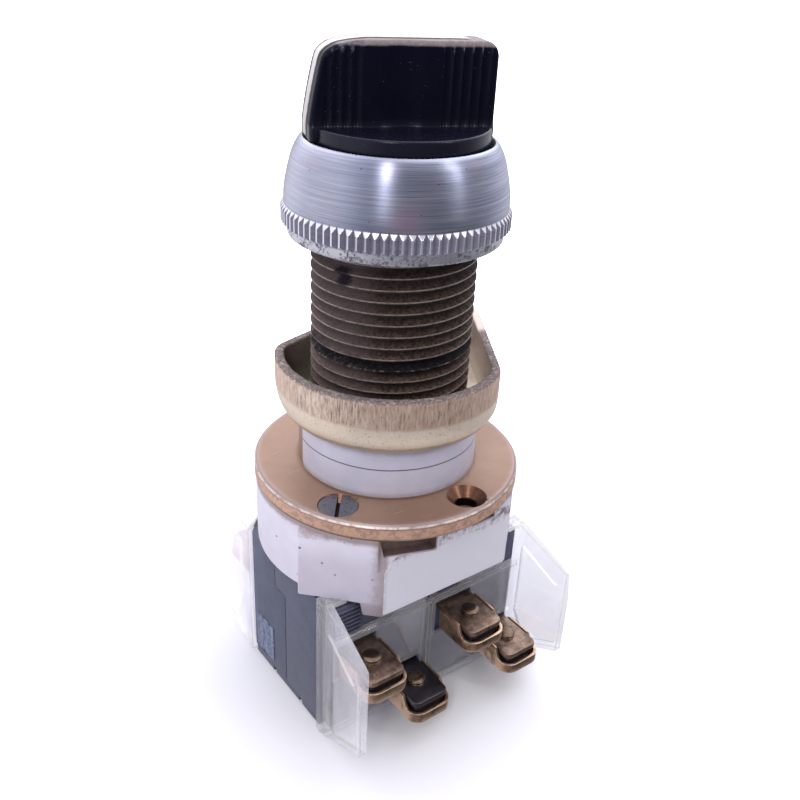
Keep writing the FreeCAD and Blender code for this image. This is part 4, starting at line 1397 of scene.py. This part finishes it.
# raised panels on the outer side, with a stepped gap between them: (y, z, corner radius)
FRONT_PANEL = [
    (-12.9, -18.35), (3.3, -18.35), (3.3, -26.2), (-0.7, -26.2), (-0.7, -48.8), (-12.9, -48.8)]
REAR_PANEL = [
    (3.65, -18.35), (12.9, -18.35), (12.9, -48.7), (9.6, -48.7), (9.6, -47.9), (7.6, -47.9),
    (7.6, -48.7), (-0.35, -48.7), (-0.35, -26.5), (3.65, -26.5)]
PALE_PANEL = [(4.6, -38.7, 0.4), (11.8, -38.7, 0.4), (11.8, -47.6, 0.4), (4.6, -47.6, 0.4)]
# clear cover seen from the side: (y, z, corner radius)
FIN = [
    (-13.4, -18.1), (-17.0, -17.0, 0.5), (-30.6, -22.0, 0.5), (-30.6, -42.3, 0.7),
    (-14.2, -51.0, 0.4), (-13.4, -50.4)]
FIN_WINDOW = [
    (-17.2, -22.9, 0.4), (-27.3, -27.3, 0.4), (-29.1, -25.9, 0.3), (-29.1, -41.5, 0.6),
    (-20.2, -46.3, 0.6), (-17.2, -40.4, 0.6)]
# points on the plane across the fin's top front corner, for the right side
FACET = ((24.74, -17.6, -16.8), (25.62, -27.4, -26.4), (24.95, -30.6, -21.8))


def build_block(name, side):
    xc = side * BLOCK_X
    outer = side * 23.6
    body = block((side * 0.15, side * 23.75), (-13.3, 13.3), (PLATE_TOP, BLOCK_TOP), BLOCK, 0.3)
    fuse(body, *[block((side * 0.45, side * 23.0), ys, (-49.5, BLOCK_TOP), bev=0.25)
                 for ys in ((-16.1, -13.0), (13.0, 16.1))])
    fuse(body,
         bevel(prism(FRONT_PANEL, outer, side * 24.12, "x"), 0.16),
         bevel(prism(REAR_PANEL, outer, side * 24.0, "x"), 0.12))
    # ribbed pads on the front and rear faces
    pads = []
    for end in (-1, 1):
        pads.append(block((xc - 10.4, xc - 4.9), (end * 16.0, end * 16.85), (-25.8, -18.9),
                          BLOCK, 0.15))
        z = -19.5
        while z > -25.5:
            pads.append(block((xc - 10.3, xc - 5.0), (end * 16.6, end * 17.3), (z - 0.45, z),
                              BLOCK, 0.14))
            z -= 0.95
    # hollow inside, centre hole, screw holes, and a slot and a well at each terminal
    tools = [block(around(xc, 8.2), (-11.5, 11.5), (-60, -21.1)), rod(3.05, -22, -17, xc)]
    for end in (-1, 1):
        tools.append(rod(1.3, -60, -10, side * BLOCK_SCREW_X, end * BLOCK_SCREW_Y, segs=24))
        for dx, level in TERMINALS:
            x = xc + dx
            tools.append(block(around(x, 2.35), (end * 17, end * 10),
                               (level - 1.25, level + 0.02)))
            tools.append(block(around(x, 4.7), (end * 17, end * 14.6),
                               (level - 8.6, level + 1.2)))
    cut(body, *tools)
    pale = prism(rounded(PALE_PANEL, 3), side * 23.9, side * 24.14, "x", BLOCK_PAD)
    piece(join([body] + pads + [pale]), "block_shell_" + name, "block_body_" + name,
          30)


def build_plate(name, side):
    plate = block((side * 0.4, side * 23.75), (-13.0, 13.0), (PLATE_BOTTOM, PLATE_TOP),
                  BLOCK, 0.3)
    fuse(plate, block((side * 4.1, side * 20.05), (-11.3, 11.3), (-49.3, -48.5)))
    tools = []
    for end in (-1, 1):
        tools.append(rod(1.3, -60, -40, side * BLOCK_SCREW_X, end * BLOCK_SCREW_Y, segs=24))
        tools.append(rod(2.3, -51.5, -50.1, side * 20.4, end * 4.0, segs=32))
    # shallow pocket underneath and two nicks in the outer edge
    tools.append(block((side * 5.0, side * 17.5), (-8.0, 8.0), (-51.5, -50.5)))
    for ys in ((-6.4, -5.0), (4.2, 5.4)):
        tools.append(block((side * 22.9, side * 24.2), ys, (-51.5, -49.8)))
    cut(plate, *tools)
    piece(plate, "block_plate_" + name, "block_base_" + name, 30)


def splay(ob, side):
    # lean the fin outwards, away from the wall
    for v in ob.data.vertices:
        if v.co.y < -17.5:
            v.co.x += side * 1.2 * (-17.5 - v.co.y) / 13.2
    return ob


def slice_facet(ob, side):
    # cut away what lies outside the facet plane and close the cut
    bm = bmesh.new()
    bm.from_mesh(ob.data)
    p, q, c = (Vector((side * x, y, z)) for x, y, z in FACET)
    normal = (q - p).cross(c - p).normalized()
    if normal.x * side < 0:
        normal = -normal
    result = bmesh.ops.bisect_plane(
        bm, geom=bm.verts[:] + bm.edges[:] + bm.faces[:], plane_co=p, plane_no=normal,
        clear_outer=True)
    edges = [e for e in result["geom_cut"] if isinstance(e, bmesh.types.BMEdge)]
    if edges:
        bmesh.ops.contextual_create(bm, geom=edges)
    bmesh.ops.recalc_face_normals(bm, faces=bm.faces)
    bm.to_mesh(ob.data)
    bm.free()


def build_cover(name, side, rear):
    # drawn at the front and mirrored for the rear
    outer = side * 24.7
    wall = block((side * 0.25, outer), (-17.5, -16.15), (-50.0, -26.0), CLEAR_EDGE, 0.25)
    lip = block((side * 0.35, side * 22.9), (-18.05, -17.3), (-26.9, -26.05), bev=0.2)
    fin = splay(bevel(prism(rounded(FIN, 3), side * 23.1, outer, "x"), 0.22), side)
    slice_facet(fin, side)
    ledge = prism([(outer, -13.6), (side * 23.3, -13.6), (side * 20.1, -16.8),
                   (outer, -16.8)], -18.05, -17.2)
    fuse(wall, lip, fin, ledge)
    tools = [splay(prism(rounded(FIN_WINDOW, 3), side * 24.25, side * 25.5, "x"), side)]
    for dx, level in TERMINALS:
        tools.append(block(around(side * BLOCK_X + dx, 5.2), (-20, -15),
                           (level - 7.6, level + 1.4)))
    cut(wall, *tools)
    # large faces are clear, small ones along the edges are hazier
    wall.data.materials.clear()
    wall.data.materials.append(CLEAR)
    wall.data.materials.append(CLEAR_EDGE)
    for face in wall.data.polygons:
        face.material_index = 0 if face.area > 6.0 else 1
    if rear:
        flip_y(wall)
    tag = ("rear_" if rear else "front_") + name
    piece(wall, "cover_" + tag, "clear_cover_" + tag, 30)


# ================================================================ terminals
STRAP_THICK = 1.2


def tongue(x, half, back, front, corner, steps):
    # plate outline (x, y) with both front corners rounded
    return rounded([(x - half, back), (x - half, front, corner),
                    (x + half, front, corner), (x + half, back)], steps)


def screw_hole(r, x, lo, hi, segs):
    return rod(r, lo, hi, x, TERMINAL_SCREW_Y, segs=segs)


def make_strap_parts(x, level, upper, mat):
    # plate outside the block, arm reaching in and the contact tip on it
    under = level - STRAP_THICK
    plate = bevel(prism(tongue(x, 4.05, -15.0, -27.5, 1.3, 6), under, level, "z", mat), 0.2)
    cut(plate, screw_hole(1.92, x, level - 3, level + 1, 40))
    arm = block(around(x, 2.3), (-15.2, -7.2), (under, level), mat, 0.12)
    tip_low = under - 0.8 if upper else level
    tip = rod(1.8, tip_low, tip_low + 0.8, x, -9.4, segs=32, mat=BRASS)
    return [plate, arm, tip]


def make_clamp_parts(x, level):
    # saddle open at the top and back, and the pressure plate hanging in it, made dark as painted
    # shade inside the saddle
    saddle = prism(tongue(x, 4.85, -18.0, -28.4, 2.6, 7), level - 4.7, level + 0.1, "z", CLAMP)
    bevel(saddle, 0.45, 3, 60)
    inner = prism(tongue(x, 4.28, -17.0, -27.83, 2.05, 7), level - 4.1, level + 1.0)
    # the side walls stand up at the back and sweep down to the front lip
    sweep = prism(rounded([(-31.5, level + 1.5), (-23.9, level + 1.5),
                           (-24.1, level - 0.1, 0.7), (-25.3, level - 2.1, 0.9),
                           (-31.5, level - 2.45)], 5), x - 6, x + 6, "x")
    cut(saddle, inner, sweep, screw_hole(2.0, x, level - 7, level, 32))
    bevel(saddle, 0.12, 2, 55)
    press_plate_shade = prism(tongue(x, 3.7, -18.4, -27.1, 0.9, 4), level - 3.4, level - 1.24, "z",
                  STRAP_DARK)
    bevel(press_plate_shade, 0.2)
    cut(press_plate_shade, screw_hole(1.95, x, level - 5, level + 1, 40))
    return [saddle, press_plate_shade]


def make_screw_parts(x, level):
    # ridged shank with a slotted head underneath
    profile = [(0, level - 4.8), (1.88, level - 4.8)]
    z = level - 4.3
    while z < level + 0.3:
        profile += [(1.88, z), (1.88, z + 0.16), (1.62, z + 0.34), (1.62, z + 0.42)]
        z += 0.55
    profile += [(1.88, level + 0.45), (1.84, level + 0.8), (1.5, level + 1.08),
                (1.0, level + 1.2), (0, level + 1.22)]
    shank = lathe(profile, 40, TERMINAL_SCREW, closed=False)
    head = lathe(rounded([(0, level - 7.02), (3.0, level - 7.02, 0.3),
                          (3.4, level - 6.5, 0.2), (3.4, level - 4.72, 0.1),
                          (0, level - 4.72)], 3), 48, TERMINAL_SCREW, closed=False)
    cut(head, block((-0.4, 0.4), (-5, 5), (level - 9, level - 6.02)))
    return [move(part, x, TERMINAL_SCREW_Y) for part in (shank, head)]


def build_terminals(name, side):
    straps, clamps, screws = [], [], []
    for rear in (True, False):
        for dx, level in TERMINALS:
            x = side * BLOCK_X + dx
            upper = dx < 0
            mat = STRAP_DARK if name == "left" and not upper else STRAP
            made = (make_strap_parts(x, level, upper, mat), make_clamp_parts(x, level),
                    make_screw_parts(x, level))
            for group, parts in zip((straps, clamps, screws), made):
                group += [flip_y(part) for part in parts] if rear else parts
    for group, new, node, slot in (
            (straps, "strap_set_", "terminal_straps_", "strap_brass"),
            (clamps, "clamp_set_", "saddle_clamps_", "clamp_plating"),
            (screws, "screw_set_", "terminal_screws_", "screw_steel")):
        piece(join(group), new + name, node + name)


for side_name, side_sign in (("left", -1), ("right", 1)):
    build_block(side_name, side_sign)
    build_plate(side_name, side_sign)
    build_cover(side_name, side_sign, rear=False)
    build_cover(side_name, side_sign, rear=True)
    build_terminals(side_name, side_sign)


def build_return_spring():
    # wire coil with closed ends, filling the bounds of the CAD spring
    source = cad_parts["return_spring_left"].data.vertices
    lo = Vector([min(v.co[i] for v in source) for i in range(3)]) * 1000
    hi = Vector([max(v.co[i] for v in source) for i in range(3)]) * 1000
    cx, cy = (lo.x + hi.x) / 2, (lo.y + hi.y) / 2
    wire, coil, turns = 0.35, 2.9, 5.0
    steps, sides = 180, 10
    # the first and last turns lie flatter: (share of the wire, share of the rise)
    rise = [(0.0, 0.0), (0.08, 0.03), (0.92, 0.97), (1.0, 1.0)]
    sections = []
    for k in range(steps + 1):
        t = k / steps
        a = 2 * math.pi * turns * t
        z = lo.z + wire + (hi.z - lo.z - 2 * wire) * lookup(rise, t)
        section = []
        for j in range(sides):
            b = 2 * math.pi * j / sides
            r = coil + wire * math.cos(b)
            section.append((cx + r * math.cos(a), cy + r * math.sin(a), z + wire * math.sin(b)))
        sections.append(section)
    ob = piece(tube_mesh(sections, SPRING), "return_coil_left", "return_spring_left",
               50)
    lo.z * 0.001
    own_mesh(ob)


build_return_spring()

# ================================================================ CAD nodes that stay as they are
KEPT_NODES = {
    "shaft_bush": BRONZE, "knob_screw": STEEL, "selector_shaft": STEEL,
    "shaft_circlip": SPRING, "shaft_orings": RUBBER, "cam": ACETAL, "detent_wheel": ACETAL,
    "detent_ball": STEEL, "detent_spring": SPRING, "actuator_side1": PIN_WHITE,
    "actuator_side2": ACETAL, "plunger_left": ACETAL, "plunger_right": ACETAL,
    "bridges_left": BRASS, "bridges_right": BRASS, "block_screws": STEEL,
    "return_spring_right": SPRING,
}
for node_name, node_material in KEPT_NODES.items():
    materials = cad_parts[node_name].data.materials
    materials.clear()
    materials.append(node_material)

# ================================================================ floor (metres from here on)
FLOOR_Z = CAD_BOX[0].z - 0.00005
FLOOR_RINGS = [0.05, 0.12, 0.3, 0.8, 2.0, 5.0]
FLOOR_GAIN = 0.98                            # brightness to the eye near the object
FLOOR_FAR_GAIN = FLOOR_GAIN * 2.4
FLOOR_BOUNCE = 0.55                          # brightness to other rays


def make_floor_paper():
    # bright paper to the eye, but a modest bounce on to the object
    m = Material("floor_paper")
    seen = m.either_ray("Is Camera Ray", "Is Transmission Ray")
    gain = m.radius().step(55.0, 170.0).choose(FLOOR_GAIN, FLOOR_FAR_GAIN)
    tint = m.mix(m.noise(0.02), (240, 239, 242), (237, 236, 241))
    color = m.value("VectorMath", {0: tint, "Scale": seen.choose(FLOOR_BOUNCE, gain)},
                    operation="SCALE")
    m.node("OutputMaterial", {0: m.value("BsdfDiffuse", {0: color})})
    return m.material


def build_floor():
    segs = 96
    verts, faces = [(0, 0, FLOOR_Z)], []
    for r in FLOOR_RINGS:
        for j in range(segs):
            t = 2 * math.pi * j / segs
            verts.append((r * math.cos(t), r * math.sin(t), FLOOR_Z))
    for j in range(segs):
        faces.append((0, 1 + j, 1 + (j + 1) % segs))
    for k in range(len(FLOOR_RINGS) - 1):
        a, b = 1 + k * segs, 1 + (k + 1) * segs
        for j in range(segs):
            m = (j + 1) % segs
            faces.append((a + j, b + j, b + m, a + m))
    me = bpy.data.meshes.new("floor")
    me.from_pydata(verts, [], faces)
    ob = link(me, "floor")
    me.materials.append(make_floor_paper())
    ob.visible_glossy = False


build_floor()

# ================================================================ camera
CAMERA_PLACE = (-0.093848784, -0.126367495, 0.094599503)
CAMERA_RIGHT = (0.806983, -0.589003, 0.043056)
CAMERA_UP = (0.244966, 0.400177, 0.883091)
CAMERA_FORWARD = (0.537373, 0.702093, -0.467222)

scene = bpy.context.scene


def build_camera():
    data = bpy.data.cameras.new("camera")
    cam = link(data, "camera")
    data.sensor_fit = "HORIZONTAL"
    data.sensor_width = 36.0
    data.lens = 41.0516
    data.clip_start, data.clip_end = 0.01, 50.0
    right, up, forward = (Vector(v).normalized()
                          for v in (CAMERA_RIGHT, CAMERA_UP, CAMERA_FORWARD))
    pose = Matrix.Identity(4)
    for i in range(3):
        pose[i][0], pose[i][1], pose[i][2] = right[i], up[i], -forward[i]
        pose[i][3] = CAMERA_PLACE[i]
    cam.matrix_world = pose
    scene.camera = cam


build_camera()
scene.view_settings.view_transform = "Standard"
scene.view_settings.look = "None"
scene.view_settings.exposure = 0.0
scene.view_settings.gamma = 1.0

# ================================================================ light
AMBIENT = 0.06
# soft glows: (direction, cosine where it starts, cosine where it is full, strength)
GLOWS = [
    ((0.30, 0.38, 0.87), 0.46, 0.98, 1.96),      # overhead, a little behind
    ((0.62, 0.78, 0.0), 0.1, 0.9, 0.60),         # behind
    ((-0.80, 0.58, 0.12), 0.20, 0.92, 0.98),     # left
    ((0.80, -0.20, 0.30), 0.40, 0.97, 0.46),     # right
    ((-0.60, -0.79, 0.45), 0.1, 0.9, 0.30),      # camera side
    ((0, 0, -1), 0.6, 0.97, 0.8),                # from below, in place of the paper
]


def build_world():
    scene.world = bpy.data.worlds.new("studio")
    graph = Graph(scene.world)
    coord = graph.value("TexCoord", output="Generated")

    def glow(direction, start, full, strength):
        cosine = graph.value("VectorMath", {0: coord, 1: Vector(direction).normalized()},
                             "Value", operation="DOT_PRODUCT")
        return cosine.step(start, full, high=strength)

    total = glow(*GLOWS[0]) + AMBIENT
    for entry in GLOWS[1:]:
        total = total + glow(*entry)
    background = graph.value("Background", {
        "Color": (0.965, 0.965, 1.03, 1.0), "Strength": total})
    graph.node("OutputWorld", {0: background})


def add_lamp(name, azimuth, elevation, width, power):
    # upright rectangle aimed at a point just above the flange
    a, e = math.radians(azimuth), math.radians(elevation)
    direction = Vector((math.cos(a) * math.cos(e), math.sin(a) * math.cos(e), math.sin(e)))
    light = bpy.data.lights.new(name, "AREA")
    light.shape = "RECTANGLE"
    light.size, light.size_y = width, 0.5
    light.energy = power
    ob = link(light, name)
    ob.location = Vector((0, 0, 0.05)) + direction * 0.9
    ob.rotation_mode = "QUATERNION"
    ob.rotation_quaternion = direction.to_track_quat("Z", "Y")


build_world()
# narrow soft lamps that draw the two upright streaks on the ring
add_lamp("lamp_left", azimuth=-140.0, elevation=38.0, width=0.085, power=2.6)
add_lamp("lamp_right", azimuth=-58.0, elevation=36.0, width=0.024, power=1.15)
